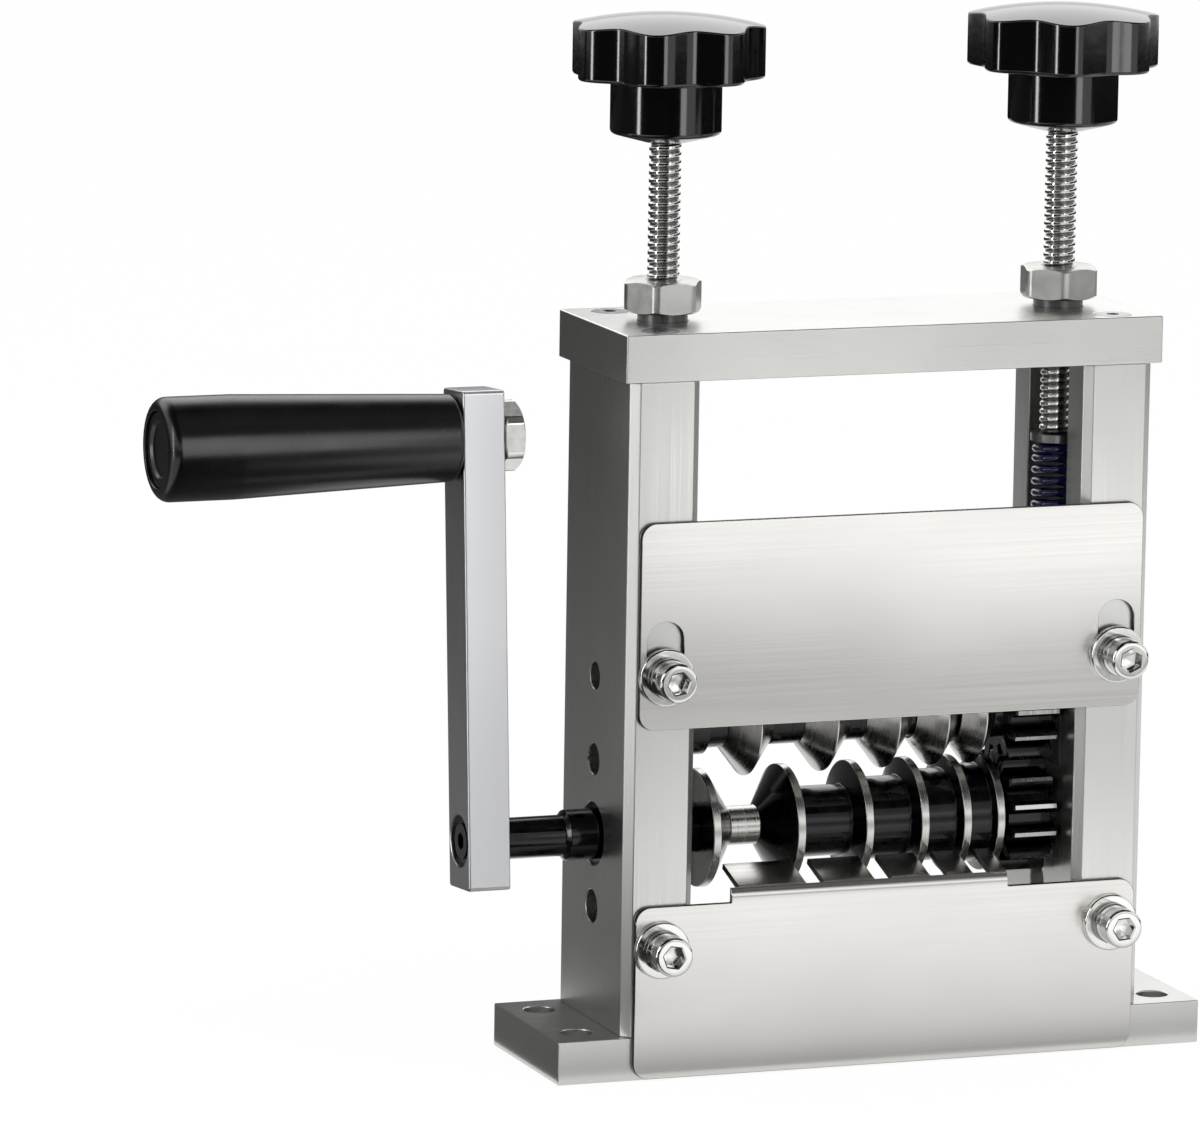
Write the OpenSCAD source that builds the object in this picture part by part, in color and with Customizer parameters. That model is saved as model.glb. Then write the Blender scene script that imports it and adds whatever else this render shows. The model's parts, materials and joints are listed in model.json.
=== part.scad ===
// Hand crank wire stripper.
// A frame of two slotted columns carries a grooved feed roller and, above it, a row of disc knives.
// The crank turns the roller, a pair of gears turns the knives, and two star knobs set their height.
// Millimetres. X runs across the frame, the front is -Y, and Z = 0 is the underside of the base.

/* [Frame] */
// Width across the outer faces of the two columns
frame_w = 140; // [132:1:170]
// Depth of the columns and the base, front to back
column_d = 47.5; // [45:0.5:60]
// Width of one column, seen from the front
column_w = 18.5; // [17:0.5:22]
// Height of one column
column_h = 165; // [158:1:190]
// Chamfer on the upright edges of a column
column_chamfer = 2.2; // [0.5:0.1:3]
// Length of each foot of the base, outside the column
foot_l = 17; // [14:0.5:30]
// Thickness of the base plate
base_h = 11; // [9:0.5:16]
// Thickness of the top plate
top_h = 12; // [10:0.5:16]
// Overhang of the top plate past each column
top_overhang = 1.9; // [0:0.1:4]
// Overhang of the top plate past the front and the back
top_lip = 0.6; // [0:0.1:3]
// Diameter of the mounting holes in the feet
foot_hole_d = 8; // [5:0.1:9]
// Distance between the two mounting holes of one foot
foot_hole_spacing = 27; // [20:0.5:32]

/* [Slots and side holes] */
// Width of the slot in the inner face of each column
slot_w = 25; // [22:0.5:27]
// Wall between a slot and the column's outer face
slot_wall = 6; // [4:0.5:8]
// Heights of the three plain side holes, from the base's underside
side_hole_z = [40, 77.5, 98.8]; // [30:0.1:120]
// Diameters of the three plain side holes
side_hole_d = [8.4, 8, 7]; // [4:0.1:9]

/* [Covers] */
// Thickness of the sheet of both covers
sheet_t = 1.5; // [1:0.1:2]
// Distance from a column's outer face to the edge of a cover
cover_inset = 2.5; // [1:0.1:4]
// Corner radius of both covers
cover_corner_r = 4; // [1:0.5:6]
// Height of the lower cover's top edge
lower_cover_top = 44.2; // [42:0.2:46]
// Gap between the lower cover and the ground
lower_cover_z = 0.5; // [0:0.1:2]
// Height of the upper cover's lower edge
upper_cover_z = 89; // [84:0.5:92]
// Height of the upper cover
upper_cover_h = 52; // [48:0.5:56]
// Height of the bolts of the upper cover
upper_bolt_z = 102.4; // [99:0.2:105]
// Height of the bolts of the lower cover
lower_bolt_z = 33.4; // [24:0.2:35]
// Width of the slots in the upper cover
cover_slot_w = 9.7; // [7:0.1:11]
// How far the upper cover can be let down
cover_travel = 9; // [5:0.5:12]
// Rise of the lower cover's comb above its top edge
lip_rise = 3.3; // [2:0.1:5]

/* [Feed roller and crank] */
// Height of the drive shaft's axis
drive_z = 58.5; // [57:0.5:62]
// Diameter of the drive shaft
shaft_d = 10.4; // [9:0.1:11]
// Diameter of the shaft inside the roller, its gear and the right bearing
inner_shaft_d = 7; // [6:0.1:8.5]
// Diameter of the shaft's journal in the left bearing
journal_d = 12.8; // [12:0.1:14]
// Length of journal that stands out of the left column
journal_out = 8.7; // [4:0.1:14]
// Radius of the roller's rims
rim_r = 15; // [14:0.1:15.5]
// Width of one rim
rim_w = 2; // [1:0.1:2.5]
// Gap between the left column and the roller
roller_inset = 8.5; // [6:0.1:12]
// Width of one gear
gear_w = 12.3; // [8:0.1:14]
// Module of the gears
gear_module = 2; // [1.9:0.05:2.1]
// Teeth of each gear
gear_teeth = 14; // [14:1:15]
// Distance from the shaft's axis to the handle's axis
crank_r = 101; // [80:1:130]
// Backward lean of the crank at rest, in degrees
crank_lean = 4.4; // [-20:0.2:20]
// Thickness of the crank arm
arm_t = 11; // [9:0.5:14]
// Width of the crank arm
arm_w = 15; // [14:0.5:20]
// Length of arm past the shaft's axis and past the handle's axis
arm_end = 12; // [10:0.5:16]
// Gap between the left column and the crank arm
arm_gap = 24.5; // [22:0.5:40]
// Length of the grip
grip_l = 77; // [60:1:110]
// Diameter of the grip at the crank
grip_inner_d = 21.8; // [18:0.2:28]
// Diameter of the grip at its free end
grip_outer_d = 26; // [22:0.2:32]

/* [Knives and adjusters] */
// Slope of a knife's bevel, radius lost for each millimetre of width
bevel_ratio = 1.25; // [1:0.05:1.6]
// Diameter of the knife shaft
knife_shaft_d = 10; // [9:0.1:11]
// Radius of a knife's hub
knife_hub_r = 7.5; // [6.5:0.1:8.5]
// Least gap between a knife's edge and the roller
knife_gap = 0.5; // [0.3:0.1:1.5]
// Diameter of an adjusting screw
screw_d = 8; // [7:0.5:8]
// Pitch of the screw's thread
screw_pitch = 2; // [1.5:0.25:2]
// Distance from a column's inner face to the screw's axis
screw_offset = 2; // [1:0.1:3]
// Outer diameter of a spring
spring_od = 12; // [11:0.1:12.5]
// Wire diameter of a spring
spring_wire_d = 2; // [1.6:0.1:2.2]
// Distance from the top plate's underside down to the end of a screw
screw_reach = 20.45; // [18:0.05:24]
// Rise of each curl of a spring
spring_pitch = 3.1; // [3:0.1:4]

/* [Knobs] */
// Diameter of a star knob
knob_d = 49.2; // [44:0.2:56]
// Lobes of a star knob
knob_lobes = 7; // [5:1:9]
// Depth of the hollows between lobes
knob_hollow = 3.4; // [1:0.1:5]
// Height of the knob's head at its edge
knob_head_h = 13; // [10:0.5:18]
// Rise of the knob's domed top
knob_dome = 3; // [1:0.1:5]
// Diameter of the knob's hub
knob_hub_d = 27.8; // [22:0.2:32]
// Height of the knob's hub
knob_hub_h = 15.9; // [12:0.1:20]
// Height of the knob above the top plate
knob_lift = 44.7; // [38:0.1:60]
// Turn of the left and the right knob, in degrees
knob_turns = [-15, -6]; // [-25:1:25]
// Width across the flats of the hex bush under each knob
bush_af = 18; // [16:0.5:20]
// Turn of the left and the right hex bush, in degrees
bush_turns = [0, 17]; // [0:1:59]

/* [Hidden] */
$fn = 64;
// One overrun serves every cut
cut = 1;
// Radial clearance of turning and pressed pieces
fit = 0.05;
// Clearance of the sliding cover on each face
sheet_fit = 0.05;
// Clearance of a bearing block on each side of its slot
block_fit = 0.15;
// Gap at the end of a travel or beside a turning face
end_gap = 0.3;

// Frame
inner_x = frame_w / 2 - column_w;
column_x = frame_w / 2 - column_w / 2;
column_top = base_h + column_h;
top_z = column_top + top_h;
front_y = -column_d / 2;
slot_depth = column_w - slot_wall;
lip_w = (column_d - slot_w) / 2;
lip_y = slot_w / 2 + lip_w / 2;
base_l = frame_w + 2 * foot_l;
foot_hole_x = frame_w / 2 + foot_l / 2;

// Cover bolts, washers and plate screws
bolt_d = 6;
bolt_head_d = 10;
bolt_head_h = 6.2;
bolt_socket_af = 5;
bolt_socket_depth = 3.4;
bolt_edge = 0.6;
washer_d = 14.4;
washer_t = 1.8;
lock_washer_d = 10.4;
lock_washer_t = 2;
lock_washer_split = 1.2;
lock_washer_turn = 40;
bolt_skin = 1.5;
bolt_depth = lip_w - bolt_skin;
plate_screw_d = 5;
plate_screw_head_d = 9.4;
plate_screw_cone_h = 2.6;
plate_screw_l = 26;
plate_screw_socket_af = 3;
plate_screw_socket_depth = 2;
base_screw_y = column_d / 2 - lip_w;
head_y = front_y - sheet_t - washer_t - lock_washer_t;

// Cylinders and shafts, along X
roller_gear_gap = 1.9;
gear_gap = 1.2;
bearing_flange_t = 0.8;
bearing_flange_d = 20;
bearing_od = 16;
bearing_recess = 2;
groove_w_shares = [0.31, 0.245, 0.195, 0.143, 0.107];
core_r_shares = [0.33, 0.6, 0.7, 0.78, 0.835];
flank_w_shares = [0.31, 0.08, 0.08, 0.08, 0.08];
grooves = len(groove_w_shares);
roller_x = -inner_x + roller_inset;
roller_l = 2 * inner_x - roller_inset - roller_gear_gap - gear_w - gear_gap;
groove_total = roller_l - (grooves + 1) * rim_w;
groove_w = [for (share = groove_w_shares) share * groove_total];
core_r = [for (share = core_r_shares) share * rim_r];
gear_x = inner_x - gear_gap - gear_w;
gear_pitch_r = gear_module * gear_teeth / 2;
gear_outer_r = gear_pitch_r + gear_module;
gear_backlash = 0.2;
gear_pressure_angle = 20;
dedendum_share = 1.25;
gear_hub_r = 9;
axis_gap = 2 * gear_pitch_r;
knife_z = drive_z + axis_gap;
knife_r = axis_gap - core_r[grooves - 1] - knife_gap;
knife_tip_w = 0.3;
knife_collar_d = 18;

// Comb of the lower cover
comb_gap = 1.3;
tab_clearance = 1.8;
tab_angle = 29;
tab_r = core_r[grooves - 1] + tab_clearance;
tab_y = -tab_r * cos(tab_angle);
tab_z = drive_z - tab_r * sin(tab_angle);
lip_bend_r = 1.5;
lip_steps = 6;
lip_z = lower_cover_top + lip_rise;
tab_run = tab_y - front_y + sheet_t;
tab_slope = atan2(tab_z - lip_z, tab_run);

// Bearing blocks, springs and screws
screw_x = inner_x + screw_offset;
block_x = inner_x + slot_depth - end_gap;
block_below = 14.5;
block_z = knife_z - block_below;
block_head_clearance = 1;
block_head_z = knife_z + gear_outer_r + block_head_clearance;
block_head_h = 8.5;
block_rim = 0.8;
spring_z = block_head_z + block_head_h;
spring_r = (spring_od - spring_wire_d) / 2;
cap_t = 2;
cap_rim = 0.2;
screw_z = column_top - screw_reach;
spring_h = screw_z - fit - cap_t - spring_z;
slot_z = block_z - end_gap;
knife_bearing_od = 14;
bush_neck_d = 12.6;
bush_neck_h = 2.2;
bush_hex_h = 8;
bush_end = 1;
knob_z = top_z + knob_lift;
knob_bore = 12;
thread_depth = 0.6;
knob_hub_dome = 2.2;
knob_neck_r = 5.5;

// Crank
arm_x = -frame_w / 2 - arm_gap;
arm_edge = 0.6;
crank_bore_d = 13;
crank_bore_depth = 5;
crank_screw_d = 5;
crank_screw_head_d = 9;
crank_screw_head_h = 4.5;
crank_screw_l = 12;
crank_screw_af = 4;
crank_screw_socket_depth = 2.5;
axle_d = 10;
axle_head_d = 16;
axle_head_h = 5;
axle_tail = 0.6;
nut_af = 16;
nut_h = 5.3;
grip_gap = 0.4;
grip_x = arm_x - arm_t - grip_gap;
grip_round = 3;
grip_cap_t = 2.5;
grip_cap_d = 19;
grip_cap_sink = 0.7;
grip_pocket_d = axle_head_d + 2 * end_gap;

// Spring path, unrolled round its cylinder
spring_bend_r = 1.6;
spring_steps = 8;
bend_steps = 4;
wire_sides = 6;

SIDES = [-1, 1];
SIDE_NAMES = ["left", "right"];
CORNERS = [[-1, -1], [1, -1], [-1, 1], [1, 1]];
CORNER_NAMES = ["front_left", "front_right", "back_left", "back_right"];
BOLT_NAMES = ["upper_left", "upper_right", "lower_left", "lower_right"];

// Diameter across the corners of a hexagon
function across_corners(af) = af / cos(30);

// Left edge of groove i, measured from the roller's left end
function groove_x(i) = i == 0 ? rim_w : groove_x(i - 1) + groove_w[i - 1] + rim_w;

// Place of cover bolt i in the front view: X and Z
function bolt_place(i) = [(i % 2 == 0 ? -1 : 1) * column_x, i < 2 ? upper_bolt_z : lower_bolt_z];

// A rod along X from x0 to x1
module rod_x(x0, x1, d) translate([x0, 0, 0]) rotate([0, 90, 0]) cylinder(h = x1 - x0, d = d);

// A rod along Y from y0 to y1
module rod_y(y0, y1, d) translate([0, y0, 0]) rotate([-90, 0, 0]) cylinder(h = y1 - y0, d = d);

// A hexagon of height h along +Z whose corners are turned off at both ends
module hex_body(af, h) {
    corner_r = across_corners(af) / 2;
    edge = (corner_r - af / 2) * tan(30);
    intersection() {
        cylinder(h = h, r = corner_r, $fn = 6);
        rotate_extrude() polygon([
            [0, 0], [af / 2, 0], [corner_r, edge],
            [corner_r, h - edge], [af / 2, h], [0, h]
        ]);
    }
}

// A flat head screw: head face at z = 0, shank towards -Z
module flat_head_screw(d, head_d, cone_h, l, socket_af, socket_depth) difference() {
    union() {
        translate([0, 0, -l]) cylinder(h = l, d = d);
        translate([0, 0, -cone_h]) cylinder(h = cone_h, d1 = d, d2 = head_d);
    }
    translate([0, 0, -socket_depth])
        cylinder(h = socket_depth + cut, d = across_corners(socket_af), $fn = 6);
}

// The hole that a flat head screw sits in
module flat_head_hole(d, head_d, cone_h, l) {
    translate([0, 0, -l - fit]) cylinder(h = l + fit + cut, d = d + 2 * fit);
    translate([0, 0, -cone_h - fit])
        cylinder(h = cone_h + fit, d1 = d + 2 * fit, d2 = head_d + 2 * fit);
}

// The hole of a plate screw, its mouth at z = 0
module plate_screw_hole()
    flat_head_hole(plate_screw_d, plate_screw_head_d, plate_screw_cone_h, plate_screw_l);

// Base with its feet, drilled for mounting and for the screws of the columns
module base_plate() color([0.80, 0.80, 0.79]) difference() {
    translate([-base_l / 2, front_y, 0]) cube([base_l, column_d, base_h]);
    for (side = SIDES, row = [-1, 1])
        translate([side * foot_hole_x, row * foot_hole_spacing / 2, -cut])
            cylinder(h = base_h + 2 * cut, d = foot_hole_d);
    for (corner = CORNERS)
        translate([corner[0] * column_x, corner[1] * base_screw_y, 0])
            mirror([0, 0, 1]) plate_screw_hole();
}

module base_screw(corner) color([0.55, 0.56, 0.58])
    translate([corner[0] * column_x, corner[1] * base_screw_y, 0]) mirror([0, 0, 1])
        flat_head_screw(plate_screw_d, plate_screw_head_d, plate_screw_cone_h, plate_screw_l,
            plate_screw_socket_af, plate_screw_socket_depth);

// Top plate, drilled for the hex bushes and for the screws into the columns
module top_plate() color([0.84, 0.84, 0.83]) difference() {
    plate_l = frame_w + 2 * top_overhang;
    plate_d = column_d + 2 * top_lip;
    translate([-plate_l / 2, -plate_d / 2, column_top]) cube([plate_l, plate_d, top_h]);
    for (side = SIDES)
        translate([side * screw_x, 0, column_top - cut])
            cylinder(h = top_h + 2 * cut, d = bush_neck_d + 2 * fit);
    for (corner = CORNERS)
        translate([corner[0] * column_x, corner[1] * lip_y, top_z]) plate_screw_hole();
}

module plate_screw(corner) color([0.55, 0.56, 0.58])
    translate([corner[0] * column_x, corner[1] * lip_y, top_z])
        flat_head_screw(plate_screw_d, plate_screw_head_d, plate_screw_cone_h, plate_screw_l,
            plate_screw_socket_af, plate_screw_socket_depth);

// Plan of a column: a rectangle with chamfered corners, centred on zero
module column_plan() {
    x = column_w / 2;
    y = column_d / 2;
    c = column_chamfer;
    polygon([
        [x - c, -y], [x, -y + c], [x, y - c], [x - c, y],
        [-x + c, y], [-x, y - c], [-x, -y + c], [-x + c, -y]
    ]);
}

// The right column: a block slot in its inner face, the drive bearing's bore and side holes
module column() color([0.82, 0.82, 0.81]) difference() {
    translate([column_x, 0, base_h]) linear_extrude(column_h) column_plan();
    translate([inner_x - cut, -slot_w / 2, slot_z])
        cube([slot_depth + cut, slot_w, column_top - slot_z + cut]);
    translate([0, 0, drive_z])
        rod_x(inner_x - cut, frame_w / 2 + cut, bearing_od + 2 * fit);
    for (i = [0:2])
        translate([0, 0, side_hole_z[i]])
            rod_x(inner_x - cut, frame_w / 2 + cut, side_hole_d[i]);
    for (z = [upper_bolt_z, lower_bolt_z])
        translate([column_x, 0, z])
            rod_y(front_y - cut, front_y + bolt_depth + fit, bolt_d + 2 * fit);
    for (row = [-1, 1]) {
        translate([column_x, row * lip_y, top_z]) plate_screw_hole();
        translate([column_x, row * base_screw_y, 0]) mirror([0, 0, 1]) plate_screw_hole();
    }
}

module column_side(i) mirror([1 - i, 0, 0]) column();

// A rectangle with round corners, centred in X, from z0 up
module cover_plan(w, z0, h) {
    r = cover_corner_r;
    translate([-w / 2 + r, z0]) square([w - 2 * r, h]);
    translate([-w / 2, z0 + r]) square([w, h - 2 * r]);
    for (side = SIDES, z = [z0 + r, z0 + h - r])
        translate([side * (w / 2 - r), z]) circle(r = r);
}

// Extrudes a front view outline from y0 to y1
module front_extrude(y0, y1) translate([0, y1, 0]) rotate([90, 0, 0]) linear_extrude(y1 - y0) children();

// Section of the comb: the sheet rises, bends back and slopes up between the roller's rims
module lip_section() {
    base = lower_cover_top - cover_corner_r;
    centre = [
        front_y + lip_bend_r,
        lip_z + (lip_bend_r + sheet_t) * (tan(tab_slope) - 1 / cos(tab_slope))
    ];
    turn = [for (k = [0:lip_steps]) 180 - (90 - tab_slope) * k / lip_steps];
    polygon(concat(
        [[front_y - sheet_t, base]],
        [for (a = turn) centre + (lip_bend_r + sheet_t) * [cos(a), sin(a)]],
        [[tab_y, tab_z], [tab_y + sheet_t * sin(tab_slope), tab_z - sheet_t * cos(tab_slope)]],
        [for (k = [lip_steps:-1:0]) centre + lip_bend_r * [cos(turn[k]), sin(turn[k])]],
        [[front_y, base]]
    ));
}

// Lower cover: a flat sheet whose comb reaches into the grooves of the roller
module lower_cover() color([0.86, 0.86, 0.85]) difference() {
    comb_x0 = roller_x + rim_w / 2;
    comb_x1 = roller_x + roller_l - rim_w - comb_gap;
    union() {
        front_extrude(front_y - sheet_t, front_y)
            cover_plan(frame_w - 2 * cover_inset, lower_cover_z, lower_cover_top - lower_cover_z);
        translate([comb_x0, 0, 0]) rotate([90, 0, 90])
            linear_extrude(comb_x1 - comb_x0) lip_section();
    }
    for (i = [0:grooves - 1])
        translate([roller_x + groove_x(i) - rim_w - comb_gap, front_y, lower_cover_top])
            cube([rim_w + 2 * comb_gap, tab_run + cut, tab_z - lower_cover_top + cut]);
    for (i = [2, 3])
        translate([bolt_place(i)[0], 0, bolt_place(i)[1]])
            rod_y(front_y - sheet_t - cut, front_y + cut, bolt_d + 2 * fit);
}

// Upper cover: a flat sheet with a slot above each bolt, so that it can be let down
module upper_cover() color([0.88, 0.88, 0.87])
    front_extrude(front_y - sheet_t + sheet_fit, front_y - sheet_fit) difference() {
        cover_plan(frame_w - 2 * cover_inset, upper_cover_z, upper_cover_h);
        for (i = [0, 1]) {
            translate([bolt_place(i)[0], bolt_place(i)[1]]) circle(d = cover_slot_w);
            translate([bolt_place(i)[0], bolt_place(i)[1] + cover_travel]) circle(d = cover_slot_w);
            translate([bolt_place(i)[0] - cover_slot_w / 2, bolt_place(i)[1]])
                square([cover_slot_w, cover_travel]);
        }
    }

// Socket head bolt through a cover
module cover_bolt(i) color([0.72, 0.72, 0.71])
    translate([bolt_place(i)[0], head_y, bolt_place(i)[1]]) rotate([90, 0, 0]) difference() {
        union() {
            translate([0, 0, head_y - front_y - bolt_depth])
                cylinder(h = front_y + bolt_depth - head_y, d = bolt_d);
            cylinder(h = bolt_head_h - bolt_edge, d = bolt_head_d);
            translate([0, 0, bolt_head_h - bolt_edge])
                cylinder(h = bolt_edge, d1 = bolt_head_d, d2 = bolt_head_d - 2 * bolt_edge);
        }
        translate([0, 0, bolt_head_h - bolt_socket_depth])
            cylinder(h = bolt_socket_depth + cut, d = across_corners(bolt_socket_af), $fn = 6);
    }

module washer(i) color([0.78, 0.78, 0.77])
    translate([bolt_place(i)[0], 0, bolt_place(i)[1]]) difference() {
        rod_y(front_y - sheet_t - washer_t, front_y - sheet_t, washer_d);
        rod_y(front_y - sheet_t - washer_t - cut, front_y - sheet_t + cut, bolt_d + 2 * fit);
    }

// Split spring washer under the bolt's head
module lock_washer(i) color([0.62, 0.62, 0.62])
    translate([bolt_place(i)[0], 0, bolt_place(i)[1]]) difference() {
        rod_y(head_y, head_y + lock_washer_t, lock_washer_d);
        rod_y(head_y - cut, head_y + lock_washer_t + cut, bolt_d + 2 * fit);
        rotate([0, lock_washer_turn, 0]) translate([0, head_y - cut, -lock_washer_split / 2])
            cube([lock_washer_d, lock_washer_t + 2 * cut, lock_washer_split]);
    }

// Flanged bearing of the drive shaft in a column
module drive_bearing(i) color([0.13, 0.13, 0.13])
    translate([0, 0, drive_z]) mirror([1 - i, 0, 0]) difference() {
        union() {
            rod_x(inner_x, frame_w / 2 - bearing_recess, bearing_od);
            rod_x(inner_x - bearing_flange_t, inner_x, bearing_flange_d);
        }
        rod_x(inner_x - bearing_flange_t - cut, frame_w / 2 + cut,
            (i == 0 ? journal_d : inner_shaft_d) + 2 * fit);
    }

// Drive shaft, thicker in its left bearing, tapped at its left end for the crank's screw
module drive_shaft() color([0.10, 0.10, 0.10]) translate([0, 0, drive_z]) difference() {
    union() {
        rod_x(arm_x - arm_t + crank_bore_depth, roller_x - fit - cut, shaft_d);
        rod_x(-frame_w / 2 - journal_out, roller_x - fit, journal_d);
        rod_x(roller_x - fit - cut, frame_w / 2 - bearing_recess, inner_shaft_d);
    }
    rod_x(arm_x - arm_t, arm_x - arm_t + crank_bore_depth + crank_screw_l + fit,
        crank_screw_d + 2 * fit);
}

// Outline of the roller over groove i: the rim before the groove, then its two flanks
function groove_points(i) = [
    [rim_r, groove_x(i) - rim_w],
    [rim_r, groove_x(i)],
    [core_r[i], groove_x(i) + flank_w_shares[i] * groove_w[i]],
    [core_r[i], groove_x(i) + (1 - flank_w_shares[i]) * groove_w[i]]
];

// Feed roller: rims with grooves between them, wide and deep at the left, narrow at the right
module feed_roller() color([0.12, 0.12, 0.12])
    translate([roller_x, 0, drive_z]) rotate([0, 90, 0]) rotate_extrude()
        polygon(concat(
            [[inner_shaft_d / 2 + fit, 0]],
            [for (i = [0:grooves - 1]) each groove_points(i)],
            [[rim_r, roller_l - rim_w], [rim_r, roller_l], [inner_shaft_d / 2 + fit, roller_l]]
        ));

// Angle of an involute, in degrees, at radius r over base radius b
function involute(r, b) = r <= b ? 0 : tan(acos(b / r)) * 180 / PI - acos(b / r);

// Half the angle that a tooth fills at radius r
function tooth_half_angle(r) =
    let (b = gear_pitch_r * cos(gear_pressure_angle))
    90 / gear_teeth - gear_backlash / gear_pitch_r * 90 / PI
        + involute(gear_pitch_r, b) - involute(r, b);

// A gear along +X from zero, with a tooth pointing at angle phase of its plane
module gear(phase, bore_d) {
    root_r = gear_pitch_r - dedendum_share * gear_module;
    radii = [for (k = [0:4]) root_r + (gear_outer_r - root_r) * k / 4];
    points = [for (t = [0:gear_teeth - 1]) let (a = phase + t * 360 / gear_teeth) each concat(
        [for (r = radii) r * [cos(a - tooth_half_angle(r)), sin(a - tooth_half_angle(r))]],
        [for (k = [4:-1:0]) radii[k]
            * [cos(a + tooth_half_angle(radii[k])), sin(a + tooth_half_angle(radii[k]))]]
    )];
    rotate([0, 90, 0]) difference() {
        linear_extrude(gear_w) polygon(points);
        translate([0, 0, -cut]) cylinder(h = gear_w + 2 * cut, d = bore_d);
    }
}

// Gear on the drive shaft, its hub against the roller
module drive_gear() color([0.11, 0.11, 0.11]) {
    translate([gear_x, 0, drive_z]) gear(180, inner_shaft_d + 2 * fit);
    translate([0, 0, drive_z]) difference() {
        rod_x(roller_x + roller_l, gear_x, 2 * gear_hub_r);
        rod_x(roller_x + roller_l - cut, gear_x + cut, inner_shaft_d + 2 * fit);
    }
}

// Gear on the knife shaft, its hub against the last knife
module driven_gear() color([0.11, 0.11, 0.11]) {
    translate([gear_x, 0, knife_z]) gear(180 / gear_teeth, knife_shaft_d + 2 * fit);
    translate([0, 0, knife_z]) difference() {
        rod_x(roller_x + roller_l - rim_w / 2, gear_x, 2 * gear_hub_r);
        rod_x(roller_x + roller_l - rim_w / 2 - cut, gear_x + cut, knife_shaft_d + 2 * fit);
    }
}

// Disc knife i with a bevel on each side, its edge over the middle of groove i
module knife(i) color([0.14, 0.14, 0.15]) {
    w = groove_w[i] + rim_w;
    run = w / 2 - knife_tip_w / 2;
    root_r = max(knife_hub_r, knife_r - bevel_ratio * run);
    flat = run - (knife_r - root_r) / bevel_ratio;
    translate([roller_x + groove_x(i) - rim_w / 2, 0, knife_z]) rotate([0, 90, 0])
        rotate_extrude() polygon([
            [knife_shaft_d / 2 + fit, 0], [root_r, 0], [root_r, flat],
            [knife_r, run], [knife_r, run + knife_tip_w],
            [root_r, w - flat], [root_r, w], [knife_shaft_d / 2 + fit, w]
        ]);
}

module knife_shaft() color([0.12, 0.12, 0.12])
    translate([0, 0, knife_z]) rod_x(-block_x + end_gap, block_x - end_gap, knife_shaft_d);

// Collar between the left block and the first knife
module knife_collar() color([0.15, 0.15, 0.15]) translate([0, 0, knife_z]) difference() {
    rod_x(-inner_x + gear_gap, roller_x + rim_w / 2, knife_collar_d);
    rod_x(-inner_x, roller_x + rim_w, knife_shaft_d + 2 * fit);
}

// Bearing block: fills the slot's width, with a head over the gear that carries the spring
module bearing_block(i) color([0.30, 0.30, 0.31]) mirror([1 - i, 0, 0]) {
    block_w = slot_w - 2 * block_fit;
    head_x = screw_x - spring_od / 2 - block_rim;
    difference() {
        union() {
            translate([inner_x, -block_w / 2, block_z])
                cube([block_x - inner_x, block_w, spring_z - block_z]);
            translate([head_x, -block_w / 2, block_head_z])
                cube([block_x - head_x, block_w, block_head_h]);
        }
        translate([0, 0, knife_z]) rod_x(inner_x - cut, block_x + cut, knife_bearing_od + 2 * fit);
    }
}

module knife_bearing(i) color([0.60, 0.47, 0.28])
    translate([0, 0, knife_z]) mirror([1 - i, 0, 0]) difference() {
        rod_x(inner_x, block_x, knife_bearing_od);
        rod_x(inner_x - cut, block_x + cut, knife_shaft_d + 2 * fit);
    }

// Path of the spring's wire: a short upright end, a bend, the curls, a bend and an upright end.
// Each point holds the way round the cylinder, the height and the climb angle.
spring_ends_h = 2 * (spring_wire_d + spring_bend_r);
spring_climb = spring_h - spring_ends_h;
spring_curls = round(spring_climb / spring_pitch);
spring_turn_l = 2 * PI * spring_r;
climb_angle = atan2(spring_climb / spring_curls, spring_turn_l);
bend_z = spring_bend_r * cos(climb_angle);
bend_s = spring_bend_r * (1 - sin(climb_angle));
curls_h = spring_h - 2 * (spring_wire_d + bend_z);
curls_l = curls_h / tan(climb_angle);
curl_rings = spring_curls * spring_steps;
function end_angle(k) = 90 - (90 - climb_angle) * k / bend_steps;
function bend_point(k) = [
    spring_bend_r * (1 - sin(end_angle(k))),
    spring_wire_d + spring_bend_r * cos(end_angle(k)),
    end_angle(k)
];
lower_end = concat([[0, 0, 90]], [for (k = [0:bend_steps - 1]) bend_point(k)]);
upper_end = [for (k = [len(lower_end) - 1:-1:0]) [
    2 * bend_s + curls_l - lower_end[k][0], spring_h - lower_end[k][1], lower_end[k][2]
]];
spring_path = concat(
    lower_end,
    [for (k = [0:curl_rings]) [
        bend_s + curls_l * k / curl_rings,
        spring_wire_d + bend_z + curls_h * k / curl_rings, climb_angle
    ]],
    upper_end
);
function on_spring(p) = let (a = p[0] / spring_r * 180 / PI)
    [spring_r * cos(a), spring_r * sin(a), p[1]];
function wire_ring(p) = let (a = p[0] / spring_r * 180 / PI)
    [for (k = [0:wire_sides - 1]) let (
        b = 360 * k / wire_sides,
        out = [cos(a), sin(a), 0],
        side = [sin(a) * sin(p[2]), -cos(a) * sin(p[2]), cos(p[2])]
    ) on_spring(p) + spring_wire_d / 2 * (cos(b) * out + sin(b) * side)];
spring_centres = [for (p = spring_path) on_spring(p)];
spring_reach = floor(spring_steps / 2) + bend_steps;
spring_self_gap = min([
    for (i = [0:len(spring_centres) - 1], j = [i + spring_reach:1:len(spring_centres) - 1])
        norm(spring_centres[i] - spring_centres[j])
]) - spring_wire_d;
echo(spring_self_gap = spring_self_gap);

// Index of point k of one ring of the spring's tube
function at(ring, k) = ring * wire_sides + k % wire_sides;

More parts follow.
